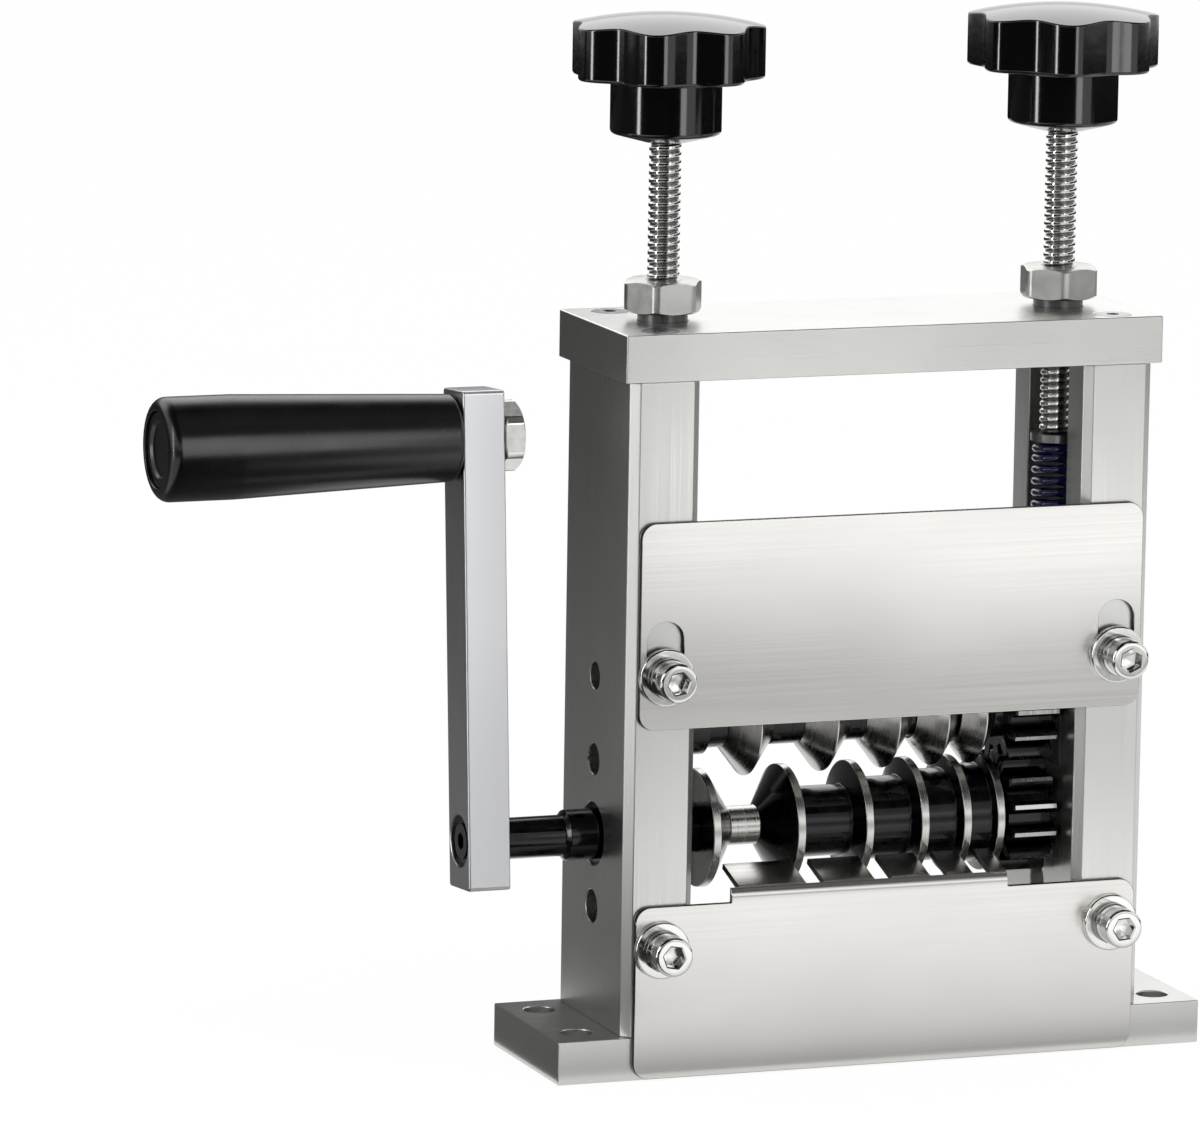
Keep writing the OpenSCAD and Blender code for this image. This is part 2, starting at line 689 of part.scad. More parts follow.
// One spring as one unbroken tube
module spring(i) color([0.07, 0.09, 0.34]) {
    rings = len(spring_path);
    points = [for (p = spring_path) each wire_ring(p)];
    faces = concat(
        [for (k = [1:wire_sides - 2]) [0, k, k + 1]],
        [for (k = [1:wire_sides - 2]) [at(rings - 1, 0), at(rings - 1, k + 1), at(rings - 1, k)]],
        [for (r = [0:rings - 2], k = [0:wire_sides - 1]) each [
            [at(r, k), at(r + 1, k + 1), at(r, k + 1)],
            [at(r, k), at(r + 1, k), at(r + 1, k + 1)]
        ]]
    );
    translate([SIDES[i] * screw_x, 0, spring_z]) polyhedron(points, faces);
}

// Disc on top of a spring that the screw presses on
module spring_cap(i) color([0.45, 0.45, 0.46])
    translate([SIDES[i] * screw_x, 0, spring_z + spring_h])
        cylinder(h = cap_t, d = spring_od + 2 * cap_rim);

// Threaded bush with a hexagon, set in the top plate
module hex_bush(i) color([0.75, 0.75, 0.74])
    translate([SIDES[i] * screw_x, 0, column_top + bush_end]) difference() {
        union() {
            cylinder(h = top_h - bush_end + bush_neck_h, d = bush_neck_d);
            translate([0, 0, top_h - bush_end + bush_neck_h])
                rotate([0, 0, bush_turns[i]]) hex_body(bush_af, bush_hex_h);
        }
        translate([0, 0, -cut]) cylinder(
            h = top_h - bush_end + bush_neck_h + bush_hex_h + 2 * cut, d = screw_d + 2 * fit);
    }

// Adjusting screw with a ridge for each turn of its thread
module screw(i) color([0.70, 0.70, 0.69]) translate([SIDES[i] * screw_x, 0, screw_z]) {
    l = knob_z + knob_bore - screw_z;
    turns = floor((l - knob_bore) / screw_pitch) - 1;
    core = screw_d / 2 - thread_depth;
    rotate_extrude() polygon(concat(
        [[0, 0], [core, 0]],
        [for (k = [0:turns - 1]) each [
            [core, k * screw_pitch + screw_pitch / 4],
            [screw_d / 2, k * screw_pitch + screw_pitch / 2],
            [screw_d / 2, k * screw_pitch + screw_pitch * 3 / 4],
            [core, (k + 1) * screw_pitch]
        ]],
        [[screw_d / 2, turns * screw_pitch + screw_pitch / 4], [screw_d / 2, l], [0, l]]
    ));
}

// Outline of the star: round lobes with smooth hollows between them
knob_steps = 12;
knob_outline = [for (k = [0:knob_lobes * knob_steps - 1]) let (
    a = 360 * k / (knob_lobes * knob_steps),
    r = knob_d / 2 - knob_hollow / 2 * (1 - cos(knob_lobes * a))
) r * [cos(a), sin(a)]];
dome_steps = 8;
dome_outline = [for (k = [0:dome_steps]) let (share = 1 - k / dome_steps)
    [share * knob_d / 2, knob_hub_h + knob_head_h + knob_dome * (1 - share * share)]];

// Star knob: a lobed head with a domed top over a round hub
module knob(i) color([0.05, 0.05, 0.05])
    translate([SIDES[i] * screw_x, 0, knob_z]) rotate([0, 0, knob_turns[i]]) difference() {
        union() {
            rotate_extrude() polygon([
                [0, 0], [knob_neck_r, 0], [knob_hub_d / 2, knob_hub_dome],
                [knob_hub_d / 2, knob_hub_h], [0, knob_hub_h]
            ]);
            intersection() {
                translate([0, 0, knob_hub_h]) linear_extrude(knob_head_h + knob_dome)
                    polygon(knob_outline);
                rotate_extrude() polygon(concat(
                    [[0, knob_hub_h], [knob_d / 2, knob_hub_h]], dome_outline
                ));
            }
        }
        translate([0, 0, -cut]) cylinder(h = knob_bore + cut + fit, d = screw_d + 2 * fit);
    }

// Puts a piece of the crank in place: the shaft's axis at zero, the handle's axis above it
module on_crank() translate([0, 0, drive_z]) rotate([-crank_lean, 0, 0]) children();

// Crank arm, bored for the shaft below and the handle's axle above
module crank_arm() color([0.83, 0.83, 0.82]) on_crank() difference() {
    arm_l = crank_r + 2 * arm_end;
    y = arm_w / 2;
    e = arm_edge;
    translate([arm_x - arm_t, 0, -arm_end]) rotate([0, 90, 0]) linear_extrude(arm_t) polygon([
        [0, -y + e], [-e, -y], [-arm_l + e, -y], [-arm_l, -y + e],
        [-arm_l, y - e], [-arm_l + e, y], [-e, y], [0, y - e]
    ]);
    rod_x(arm_x - arm_t - cut, arm_x + cut, shaft_d + 2 * fit);
    rod_x(arm_x - arm_t - cut, arm_x - arm_t + crank_bore_depth, crank_bore_d);
    translate([0, 0, crank_r]) rod_x(arm_x - arm_t - cut, arm_x + cut, axle_d + 2 * fit);
}

// Screw in the shaft's end that holds the arm
module crank_screw() color([0.20, 0.20, 0.20]) on_crank() difference() {
    face = arm_x - arm_t + crank_bore_depth;
    union() {
        rod_x(face - crank_screw_head_h, face, crank_screw_head_d);
        rod_x(face - fit, face + crank_screw_l, crank_screw_d);
    }
    translate([face - crank_screw_head_h - cut, 0, 0]) rotate([0, 90, 0])
        cylinder(h = crank_screw_socket_depth + cut, d = across_corners(crank_screw_af), $fn = 6);
}

// Axle of the handle: threaded through the arm, its head inside the grip's free end
module handle_axle() color([0.55, 0.55, 0.55]) on_crank() translate([0, 0, crank_r]) {
    head_x = grip_x - grip_l + grip_cap_sink + grip_cap_t + end_gap;
    rod_x(head_x, head_x + axle_head_h, axle_head_d);
    rod_x(head_x + axle_head_h, arm_x + nut_h + axle_tail, axle_d);
}

module handle_nut() color([0.75, 0.75, 0.74]) on_crank()
    translate([arm_x, 0, crank_r]) rotate([0, 90, 0]) difference() {
        hex_body(nut_af, nut_h);
        translate([0, 0, -cut]) cylinder(h = nut_h + 2 * cut, d = axle_d + 2 * fit);
    }

// Grip: widest at its free end, with a pocket for the axle's head closed by a cap
module grip() color([0.06, 0.06, 0.06]) on_crank()
    translate([grip_x - grip_l, 0, crank_r]) rotate([0, 90, 0]) {
        outer_r = grip_outer_d / 2;
        inner_r = grip_inner_d / 2;
        r = grip_round;
        pocket = grip_cap_sink + grip_cap_t + axle_head_h + 2 * end_gap;
        cap_r = grip_cap_d / 2 + fit;
        arc = [for (a = [0:15:90]) [outer_r - r + r * sin(a), r - r * cos(a)]];
        rotate_extrude() polygon(concat(
            [[cap_r, 0]], arc,
            [[outer_r, grip_l / 4], [inner_r, grip_l - r / 2], [inner_r - r / 2, grip_l]],
            [[axle_d / 2 + fit, grip_l], [axle_d / 2 + fit, pocket]],
            [[grip_pocket_d / 2, pocket], [grip_pocket_d / 2, grip_cap_sink + grip_cap_t]],
            [[cap_r, grip_cap_sink + grip_cap_t]]
        ));
    }

module grip_cap() color([0.07, 0.07, 0.07]) on_crank()
    translate([grip_x - grip_l + grip_cap_sink, 0, crank_r]) rod_x(0, grip_cap_t, grip_cap_d);

base_plate();
top_plate();
lower_cover();
upper_cover();
drive_shaft();
feed_roller();
drive_gear();
crank_arm();
crank_screw();
handle_axle();
handle_nut();
grip();
grip_cap();
knife_shaft();
knife_collar();
driven_gear();
for (i = [0:grooves - 1])
    knife(i);
for (i = [0, 1]) {
    column_side(i);
    drive_bearing(i);
    bearing_block(i);
    knife_bearing(i);
    spring(i);
    spring_cap(i);
    hex_bush(i);
    screw(i);
    knob(i);
}
for (i = [0:3]) {
    cover_bolt(i);
    washer(i);
    lock_washer(i);
    plate_screw(CORNERS[i]);
    base_screw(CORNERS[i]);
}
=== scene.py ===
"""A hand crank wire stripper, dressed round its fixed CAD frame.

Lengths are metres. X runs across the frame, the front is -Y, and Z = 0 is what it stands on.
"""

import json
import math

import bmesh
import bpy
import numpy as np
from bpy.props import FloatProperty, FloatVectorProperty, IntProperty, PointerProperty
from mathutils import Matrix, Vector


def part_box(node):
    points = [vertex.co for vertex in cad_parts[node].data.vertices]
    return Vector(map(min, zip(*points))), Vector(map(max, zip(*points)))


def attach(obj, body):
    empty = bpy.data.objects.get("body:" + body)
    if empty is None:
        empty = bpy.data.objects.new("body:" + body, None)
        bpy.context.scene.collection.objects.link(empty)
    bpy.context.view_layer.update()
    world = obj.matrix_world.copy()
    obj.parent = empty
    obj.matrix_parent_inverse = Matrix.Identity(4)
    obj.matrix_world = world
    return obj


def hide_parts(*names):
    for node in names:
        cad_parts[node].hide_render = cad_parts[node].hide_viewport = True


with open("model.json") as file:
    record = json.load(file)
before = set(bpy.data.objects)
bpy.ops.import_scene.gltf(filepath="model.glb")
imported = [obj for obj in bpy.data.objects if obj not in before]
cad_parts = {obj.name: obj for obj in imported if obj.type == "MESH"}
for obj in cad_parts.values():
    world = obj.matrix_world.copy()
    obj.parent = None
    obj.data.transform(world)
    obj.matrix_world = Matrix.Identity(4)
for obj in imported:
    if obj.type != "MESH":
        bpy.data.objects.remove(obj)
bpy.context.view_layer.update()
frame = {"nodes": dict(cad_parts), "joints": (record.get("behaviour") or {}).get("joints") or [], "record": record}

bl_info = {
    "name": "Hand crank wire stripper",
    "version": (1, 0, 0),
    "blender": (4, 5, 0),
    "location": "View3D > Sidebar > Wire stripper",
    "description": "Finished pieces, materials and stage of a hand crank wire stripper",
    "category": "Object",
}

MM = 0.001
# Clearance in a bored hole, and the radii of the bolts and of the handle's axle and knife shaft
FIT = 0.05 * MM
BOLT_R = 3 * MM
AXLE_R = 5 * MM
# Points closer than this are one, and edges sharper than this many degrees stay sharp
MERGE = 0.001 * MM
SHARP = 32
WHITE = (1, 1, 1, 1)
SIDES = ("left", "right")
BOLTS = ("upper_left", "upper_right", "lower_left", "lower_right")
CORNERS = ("front_left", "front_right", "back_left", "back_right")
KNIVES = tuple(f"knife_{i}" for i in range(1, 6))
BODY_OF = {
    node: body
    for body, nodes in frame["record"]["behaviour"]["bodies"].items()
    for node in nodes
}


def joint_place(name):
    """The point that a joint turns about."""
    return np.array(next(joint["pos_m"] for joint in frame["joints"] if joint["name"] == name))


def screw_axis(side):
    """Where the upright axis of an adjusting screw meets the ground."""
    return joint_place(side + "_knob_turn") * [1, 1, 0]


def rows_of(items, key):
    """The three numbers that each item of a Blender collection holds under a key, one row each."""
    numbers = np.empty(len(items) * 3)
    items.foreach_get(key, numbers)
    return numbers.reshape(-1, 3)


def node_box(node):
    """Lowest and highest corner of a CAD node, as arrays."""
    low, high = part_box(node)
    return np.array(low), np.array(high)


def node_reach(node, axis):
    """How far a CAD node reaches from an upright axis, and the angle of the point that does."""
    off = rows_of(frame["nodes"][node].data.vertices, "co") - axis
    far = np.argmax(np.hypot(off[:, 0], off[:, 1]))
    return math.hypot(off[far, 0], off[far, 1]), math.atan2(off[far, 1], off[far, 0])


DRIVE_AXIS = joint_place("crank_spin")
KNIFE_AXIS = joint_place("knife_spin")
HANDLE_AXIS = joint_place("grip_spin")
CRANK_LEAN = math.atan2(HANDLE_AXIS[1] - DRIVE_AXIS[1], HANDLE_AXIS[2] - DRIVE_AXIS[2])


def linear(hex_colour):
    """Linear red, green and blue of an sRGB hex colour."""
    srgb = np.array([int(hex_colour[k : k + 2], 16) for k in (1, 3, 5)]) / 255
    return tuple(np.where(srgb <= 0.04045, srgb / 12.92, ((srgb + 0.055) / 1.055) ** 2.4))


def length(name, description, millimetres):
    """A property that holds a length."""
    return FloatProperty(
        name=name, description=description, default=millimetres * MM, unit="LENGTH", precision=5
    )


def tilt(name, description, degrees):
    """A property that holds an angle."""
    return FloatProperty(
        name=name, description=description, default=math.radians(degrees), subtype="ANGLE"
    )


def colour(name, description, hex_colour):
    """A property that holds a colour."""
    default = linear(hex_colour)
    return FloatVectorProperty(
        name=name, description=description, default=default, subtype="COLOR", min=0, max=1
    )


class PlateSettings(bpy.types.PropertyGroup):
    """Machined plates, columns and crank arm."""

    edge: length("Edge rounding", "Rounding of the broken edges of plates and columns", 0.35)
    arm_edge: length("Arm edge rounding", "Rounding of the broken edges of the crank arm", 0.5)
    frame_colour: colour("Frame colour", "Colour of the milled aluminium", "#D0D0CD")
    arm_colour: colour("Arm colour", "Colour of the crank arm", "#CDCED0")


class CoverSettings(bpy.types.PropertyGroup):
    """Sheet metal covers."""

    edge: length("Edge rounding", "Rounding of the deburred edges of the sheet", 0.22)
    cut_colour: colour("Cut edge colour", "Colour of the laser cut edges of the sheet", "#3C3A38")
    sheet_colour: colour("Sheet colour", "Colour of the brushed stainless sheet", "#D2D0CD")


class BoltSettings(bpy.types.PropertyGroup):
    """Cover bolts with their washers."""

    socket: length("Socket width", "Width across the flats of the hexagon socket", 5)
    socket_depth: length("Socket depth", "Depth of the hexagon socket", 3.4)
    head_edge: length("Head edge", "Rounding of the head's edge", 0.8)
    split: length("Split", "Opening of the lock washer", 1.2)
    # Darker than the zinc: painted shade between the bolt head and the flat washer.
    lock_washer_shade_colour: colour("Lock washer colour", "Colour of the spring steel washers", "#8C8C8B")
    zinc_colour: colour("Zinc colour", "Colour of the bright plating", "#DADAD7")


class KnobSettings(bpy.types.PropertyGroup):
    """Star knobs and the screws they turn."""

    lobes: IntProperty(name="Lobes", description="Lobes of the star", default=7, min=3, max=12)
    hollow: length("Hollow", "Depth of the hollows between lobes", 3.4)
    head: length("Head height", "Height of the lobed head at its edge", 13)
    dome: length("Dome", "Rise of the domed top", 3)
    hub: length("Hub radius", "Radius of the hub under the head", 13.9)
    pitch: length("Thread pitch", "Rise of the thread in one turn", 2)
    thread: length("Thread depth", "Depth of the thread", 0.5)
    phenolic_colour: colour("Knob colour", "Colour of the moulded phenolic", "#09090A")


class SpringSettings(bpy.types.PropertyGroup):
    """Compression springs under the screws."""

    wire: length("Wire", "Diameter of the spring's wire", 2)
    curls: IntProperty(
        name="Curls", description="Open curls between the closed ends", default=12, min=3, max=15
    )
    enamel_colour: colour("Enamel colour", "Colour of the dipped enamel", "#11164C")


class CrankSettings(bpy.types.PropertyGroup):
    """Shaft, handle axle, nut and grip of the crank."""

    shaft: length("Shaft radius", "Radius of the drive shaft", 5.2)
    inner_shaft: length("Inner shaft radius", "Radius of the shaft inside the roller", 3.5)
    journal: length("Journal radius", "Radius of the shaft in its left bearing", 6.4)
    journal_out: length("Journal", "Length of journal outside the left column", 8.7)
    grip_tip: length("Grip tip radius", "Radius of the grip at its free end", 13)
    grip_root: length("Grip root radius", "Radius of the grip at the crank", 10.9)
    grip_round: length("Grip rounding", "Rounding of the grip's free end", 3)
    grip_colour: colour("Grip colour", "Colour of the moulded grip", "#060607")


class CuttingSettings(bpy.types.PropertyGroup):
    """Feed roller, disc knives and gears."""

    rim: length("Rim", "Width of one rim of the roller", 2)
    cores: FloatVectorProperty(
        name="Core shares",
        description="Radius of each groove's core, as a share of the rim's radius",
        size=5,
        default=(0.33, 0.6, 0.7, 0.78, 0.835),
    )
    flanks: FloatVectorProperty(
        name="Flank shares",
        description="Width of each groove's flank, as a share of the groove's width",
        size=5,
        default=(0.31, 0.08, 0.08, 0.08, 0.08),
    )
    knife_hub: length("Knife hub", "Radius of a knife's hub", 7.5)
    knife_tip: length("Knife edge", "Width of a knife's edge", 0.3)
    bevel: FloatProperty(
        name="Bevel", description="Radius lost for each metre of a knife's width", default=1.25
    )
    gear_width: length("Gear width", "Width of one gear", 12.3)
    gear_module: length("Module", "Module of the gears", 2)
    gear_teeth: IntProperty(name="Teeth", description="Teeth of each gear", default=14, min=8)
    gear_hub: length("Gear hub", "Radius of a gear's hub", 9)
    oxide_colour: colour("Oxide colour", "Colour of the black oxide", "#1D1D1E")
    ground_colour: colour("Ground colour", "Colour of the ground steel", "#C6C5C2")


class StageSettings(bpy.types.PropertyGroup):
    """Camera, lamps, floor and the cards that the metal mirrors."""

    azimuth: tilt("Azimuth", "How far left of the front the camera stands", 20.461)
    elevation: tilt("Elevation", "Height of the camera as an angle", 9.759)
    roll: tilt("Roll", "Tilt of the camera", 0.899)
    lens: FloatProperty(
        name="Lens", description="Focal length on a 36 mm wide sensor", default=264.4, unit="CAMERA"
    )
    camera_x: length("Camera X", "Place of the camera across the frame", -826.5)
    camera_y: length("Camera Y", "Place of the camera in front of the frame", -2030.1)
    camera_z: length("Camera Z", "Height of the camera", 498.55)
    ambient: FloatProperty(
        name="Ambient", description="Strength of the light from all round", default=0.6
    )


GROUPS = {
    "plates": PlateSettings,
    "covers": CoverSettings,
    "bolts": BoltSettings,
    "knobs": KnobSettings,
    "springs": SpringSettings,
    "crank": CrankSettings,
    "cutting": CuttingSettings,
    "stage": StageSettings,
}


class StripperSettings(bpy.types.PropertyGroup):
    """All settings of the wire stripper."""

    __annotations__ = {name: PointerProperty(type=group) for name, group in GROUPS.items()}


def grid_faces(rows, columns, rows_closed, columns_closed):
    """Quads between neighbouring points of a grid; a closed side joins its end to its start."""
    row = np.arange(rows if rows_closed else rows - 1)
    column = np.arange(columns if columns_closed else columns - 1)
    row, column = np.meshgrid(row, column, indexing="ij")
    next_row, next_column = (row + 1) % rows, (column + 1) % columns
    corners = [row * columns + column, row * columns + next_column]
    corners += [next_row * columns + next_column, next_row * columns + column]
    return np.stack(corners, -1).reshape(-1, 4)


def ring_points(along, radius, angle, centre, axis):
    """Points at a place along an axis through centre, at a radius and angle round it.

    The three arrays are broadcast to one grid: rows run along the axis, columns run round it.
    """
    along, radius, angle = np.broadcast_arrays(along, radius, angle)
    points = np.stack([along, radius * np.cos(angle), radius * np.sin(angle)], -1)
    across = np.array([direction != axis for direction in "xyz"])
    return centre * across + np.roll(points, "xyz".index(axis), axis=-1)


def turn(count, start=0.0):
    """Equal steps of one turn, in radians."""
    return start + 2 * np.pi * np.arange(count) / count


def rounded(corners, steps=5):
    """An outline of (along, radius, rounding) corners, rounded by arcs tangent to both sides.

    The arc's points are spherical blends of the vectors from its centre to its two ends.
    """
    corners = np.array(corners, float)
    points = [corners[:1, :2]]
    for before, here, after in zip(corners[:-2], corners[1:-1], corners[2:]):
        if here[2] == 0:
            points.append(here[None, :2])
            continue
        back = before[:2] - here[:2]
        ahead = after[:2] - here[:2]
        back /= np.linalg.norm(back)
        ahead /= np.linalg.norm(ahead)
        half = math.acos(np.clip(back @ ahead, -1, 1)) / 2
        middle = (back + ahead) / np.linalg.norm(back + ahead)
        centre = here[:2] + middle * here[2] / math.sin(half)
        start = here[:2] + back * here[2] / math.tan(half) - centre
        end = here[:2] + ahead * here[2] / math.tan(half) - centre
        sweep = math.pi - 2 * half
        share = np.linspace(0, 1, steps + 1)[:, None]
        arc = np.sin((1 - share) * sweep) * start + np.sin(share * sweep) * end
        points.append(centre + arc / math.sin(sweep))
    points.append(corners[-1:, :2])
    return np.concatenate(points)


def lathe(corners, centre, axis, count=96, steps=5, marked=None):
    """A patch turned round an axis from a rounded outline of (along, radius, rounding) corners.

    An outline that ends where it starts is a closed ring. marked tells which bands between
    the outline's points take the second finish, from the (along, radius) of their middles.
    """
    outline = rounded(corners, steps)
    closed = corners[0] == corners[-1]
    outline = outline[:-1] if closed else outline
    middles = (outline + np.roll(outline, -1, 0)) / 2
    finish = 0 if marked is None else marked(*middles.T).astype(int)
    grid = ring_points(outline[:, :1], outline[:, 1:], turn(count), centre, axis)
    return grid, closed, True, finish


def hexagon(angle, flats):
    """Radius of a hexagon with corners at 0, 60 degrees and so on: flat's distance over cosine."""
    return flats / 2 / np.cos(angle % (np.pi / 3) - np.pi / 6)


def closed_tube(rings):
    """Rings of points with a middle point at both ends, which closes the tube flat."""
    ends = rings[[0, -1]].mean(1, keepdims=True) + 0 * rings[[0, -1]]
    return np.concatenate([ends[:1], rings, ends[1:]])


def link(name, data):
    """A new object in the scene."""
    piece = bpy.data.objects.new(name, data)
    bpy.context.scene.collection.objects.link(piece)
    return piece


def merge(mesh, action):
    """Merges the doubles of a mesh, and then takes one more action on it."""
    solid = bmesh.new()
    solid.from_mesh(mesh)
    bmesh.ops.remove_doubles(solid, verts=solid.verts, dist=MERGE)
    action(solid)
    solid.to_mesh(mesh)
    solid.free()


def stand_for(node, mesh, finishes, sharp):
    """A piece, smooth up to the sharp angle, in the place, body and finish slot of a CAD node."""
    for finish in finishes:
        mesh.materials.append(finish)
    mesh.shade_smooth()
    mesh.set_sharp_from_angle(angle=math.radians(sharp))
    piece = link(mesh.name, mesh)
    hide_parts(node)
    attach(piece, BODY_OF[node])
    return piece


def build(node, patches, finishes, sharp=SHARP):
    """A closed piece from grids of points, in the place of a CAD node.

    Each patch is (points, rows_closed, columns_closed, finish), where finish is the index of a
    material for all bands between rows or one for each. Seams and poles are merged, faces are
    turned outwards, and normals are weighted by area.
    """
    points, faces, index, count = [], [], [], 0
    for grid, rows_closed, columns_closed, finish in patches:
        rows, columns = grid.shape[:2]
        quads = grid_faces(rows, columns, rows_closed, columns_closed)
        bands = rows if rows_closed else rows - 1
        points.append(grid.reshape(-1, 3))
        faces.append(quads + count)
        index.append(np.repeat(np.broadcast_to(finish, bands), len(quads) // bands))
        count += rows * columns
    mesh = bpy.data.meshes.new(node + "_finished")
    mesh.from_pydata(np.concatenate(points), [], np.concatenate(faces).tolist())
    mesh.polygons.foreach_set("material_index", np.concatenate(index).astype(np.int32))
    merge(mesh, lambda solid: bmesh.ops.recalc_face_normals(solid, faces=solid.faces))
    piece = stand_for(node, mesh, finishes, sharp)
    even = piece.modifiers.new("Even shading", "WEIGHTED_NORMAL")
    even.keep_sharp = True
    return piece


def softened(node, finishes, edge):
    """A copy of a CAD node in its place, with triangles merged to flat faces and edges rounded."""
    source = frame["nodes"][node].data
    corners = np.empty(len(source.loops), np.int32)
    source.loops.foreach_get("vertex_index", corners)
    mesh = bpy.data.meshes.new(node + "_finished")
    mesh.from_pydata(rows_of(source.vertices, "co"), [], corners.reshape(-1, 3).tolist())
    flat = {"angle_limit": math.radians(0.5), "delimit": {"NORMAL"}}
    merge(
        mesh,
        lambda solid: bmesh.ops.dissolve_limit(solid, verts=solid.verts, edges=solid.edges, **flat),
    )
    piece = stand_for(node, mesh, finishes, 180)
    bevel = piece.modifiers.new("Broken edges", "BEVEL")
    bevel.width = edge
    bevel.segments = 3
    bevel.limit_method = "ANGLE"
    bevel.angle_limit = math.radians(SHARP)
    bevel.harden_normals = True
    bevel.use_clamp_overlap = False
    bevel.miter_outer = "MITER_ARC"
    return piece


def dress(finish, *nodes):
    """Gives CAD nodes that are shown as they are a finish."""
    for node in nodes:
        mesh = frame["nodes"][node].data
        mesh.materials.clear()
        mesh.materials.append(finish)


def add(owner, kind, values=None, links=None, **settings):
    """Adds a shader node to a material or world.

    settings are its options, values its sockets' numbers, and links what feeds them: an output,
    or a node whose first output does.
    """
    node = owner.node_tree.nodes.new("ShaderNode" + kind)
    for key, value in settings.items():
        setattr(node, key, value)
    for socket, value in (values or {}).items():
        node.inputs[socket].default_value = value
    for socket, source in (links or {}).items():
        output = source.outputs[0] if hasattr(source, "outputs") else source
        owner.node_tree.links.new(output, node.inputs[socket])
    return node


def new_material(name):
    """An empty node material."""
    material = bpy.data.materials.new(name)
    material.use_nodes = True
    material.node_tree.nodes.clear()
    return material


def surface(
    name, base, tone, change, sheen, roughness, bumps=None, relief=None, span=(0.3, 0.7), extra=None
):
    """A metal that patterns vary; extra holds other numbers of its shader.

    As tone runs through its span, the colour goes from base times (1 - change) to base; as sheen
    does, the roughness goes through the given pair. bumps raises a relief of (height in
    millimetres, strength).
    """
    material = new_material(name)
    made = {p: p(material) for p in dict.fromkeys((tone, sheen, bumps)) if p}
    limits = {"From Min": span[0], "From Max": span[1]}
    share = add(material, "MapRange", limits, {"Value": made[tone]})
    dark = [c * (1 - change) for c in base] + [1]
    mix = add(material, "Mix", {6: dark, 7: [*base, 1]}, {0: share}, data_type="RGBA")
    limits = {**limits, "To Min": roughness[0], "To Max": roughness[1]}
    rough = add(material, "MapRange", limits, {"Value": made[sheen]})
    linked = {"Base Color": mix.outputs[2], "Roughness": rough}
    if bumps:
        raised = {"Distance": relief[0] * MM, "Strength": relief[1]}
        linked["Normal"] = add(material, "Bump", raised, {"Height": made[bumps]})
    shader = add(material, "BsdfPrincipled", {"Metallic": 1.0, **(extra or {})}, linked)
    add(material, "OutputMaterial", links={"Surface": shader})
    return material


def grain(spacing, detail=2.0):
    """A pattern of noise with one real size in millimetres, or one along each axis."""

    def pattern(owner):
        place = add(owner, "TexCoord").outputs["Object"]
        scale = {"Scale": 1 / (np.broadcast_to(spacing, 3) * MM)}
        moved = add(owner, "Mapping", scale, {"Vector": place})
        return add(owner, "TexNoise", {"Scale": 1.0, "Detail": detail}, {"Vector": moved})

    return pattern


def round_axis(owner, centre, across):
    """Object coordinates from a centre, and the distance from the axis that across is square to."""
    place = add(owner, "TexCoord").outputs["Object"]
    moved = add(owner, "Mapping", {"Location": [-c for c in centre]}, {"Vector": place})
    flat = add(owner, "VectorMath", {1: across}, {0: moved}, operation="MULTIPLY")
    distance = add(owner, "VectorMath", links={0: flat}, operation="LENGTH")
    return moved, distance.outputs["Value"]


def turned_rings(centre, spacing):
    """A pattern that is the same all round an axis along X: the rings that a lathe tool leaves."""

    def pattern(owner):
        moved, radius = round_axis(owner, centre, (0, 1, 1))
        axial = add(owner, "SeparateXYZ", links={0: moved})
        both = add(owner, "CombineXYZ", links={0: axial, 1: radius})
        noise = {"Scale": 1 / (spacing * MM), "Detail": 2.0}
        return add(owner, "TexNoise", noise, {"Vector": both})

    return pattern


def satin_aluminium(name, base, along):
    """Aluminium bar, milled and rubbed along one axis: a soft sheen with fine straight lines.

    Real lines are about 0.05 mm apart; they are drawn 0.3 mm apart so that they show.
    """
    lines = grain([60 if axis == along else 0.3 for axis in "xyz"])
    return surface(name, base, grain(28), 0.06, lines, (0.27, 0.35), lines, (0.002, 0.12))


def tumbled_aluminium(name, base):
    """Aluminium bar tumbled with small stones until its saw lines are gone: an even sheen."""
    clouds = grain(28)
    return surface(name, base, clouds, 0.05, clouds, (0.29, 0.33))


def brushed_stainless(name, base):
    """Stainless sheet brushed across its width: long fine lines, and faint clouds from the rolls.

    Real lines are about 0.1 mm apart; they are drawn 0.35 mm apart so that they show.
    """
    lines = grain((90, 0.35, 0.35), 3.0)
    clouds = grain((45, 30, 22))
    return surface(name, base, clouds, 0.06, lines, (0.19, 0.25), lines, (0.002, 0.12))


def laser_cut_edge(name, base):
    """Sheet edge left by a laser: dull and dark, with fine upright drag lines 0.3 mm apart."""
    drag = grain((0.3, 2, 0.3))
    return surface(name, base, drag, 0.3, drag, (0.4, 0.55), drag, (0.01, 0.6))


def bright_zinc(name, base, roughness=0.1):
    """Steel with bright zinc plating: nearly a mirror, with a little haze in patches."""
    haze = grain(2.5)
    rough = (roughness, roughness + 0.06)
    return surface(name, base, haze, 0.08, haze, rough, haze, (0.006, 0.1))


def zinc_thread_painted_root_shade(name, base, centre, root, crest):
    """Bright zinc on a rolled thread: crests polished by use, and the roots darkened as painted shade."""

    def radius(owner):
        return round_axis(owner, centre, (1, 1, 0))[1]

    # The colour falls by 0.8 from crest to root radius: painted shade in the thread's roots.
    return surface(name, base, radius, 0.8, radius, (0.3, 0.1), span=(root, crest))


def black_oxide(name, base, centre, roughness=0.28):
    """Turned steel blackened in a hot bath: dark, with an oily sheen and faint lathe rings."""
    rings = turned_rings(centre, 0.5)
    patches = grain(3, 3.0)
    rough = (roughness - 0.06, roughness + 0.08)
    oil = {"Coat Weight": 0.5, "Coat Roughness": 0.08}
    return surface(name, base, patches, 0.45, patches, rough, rings, (0.004, 0.4), extra=oil)


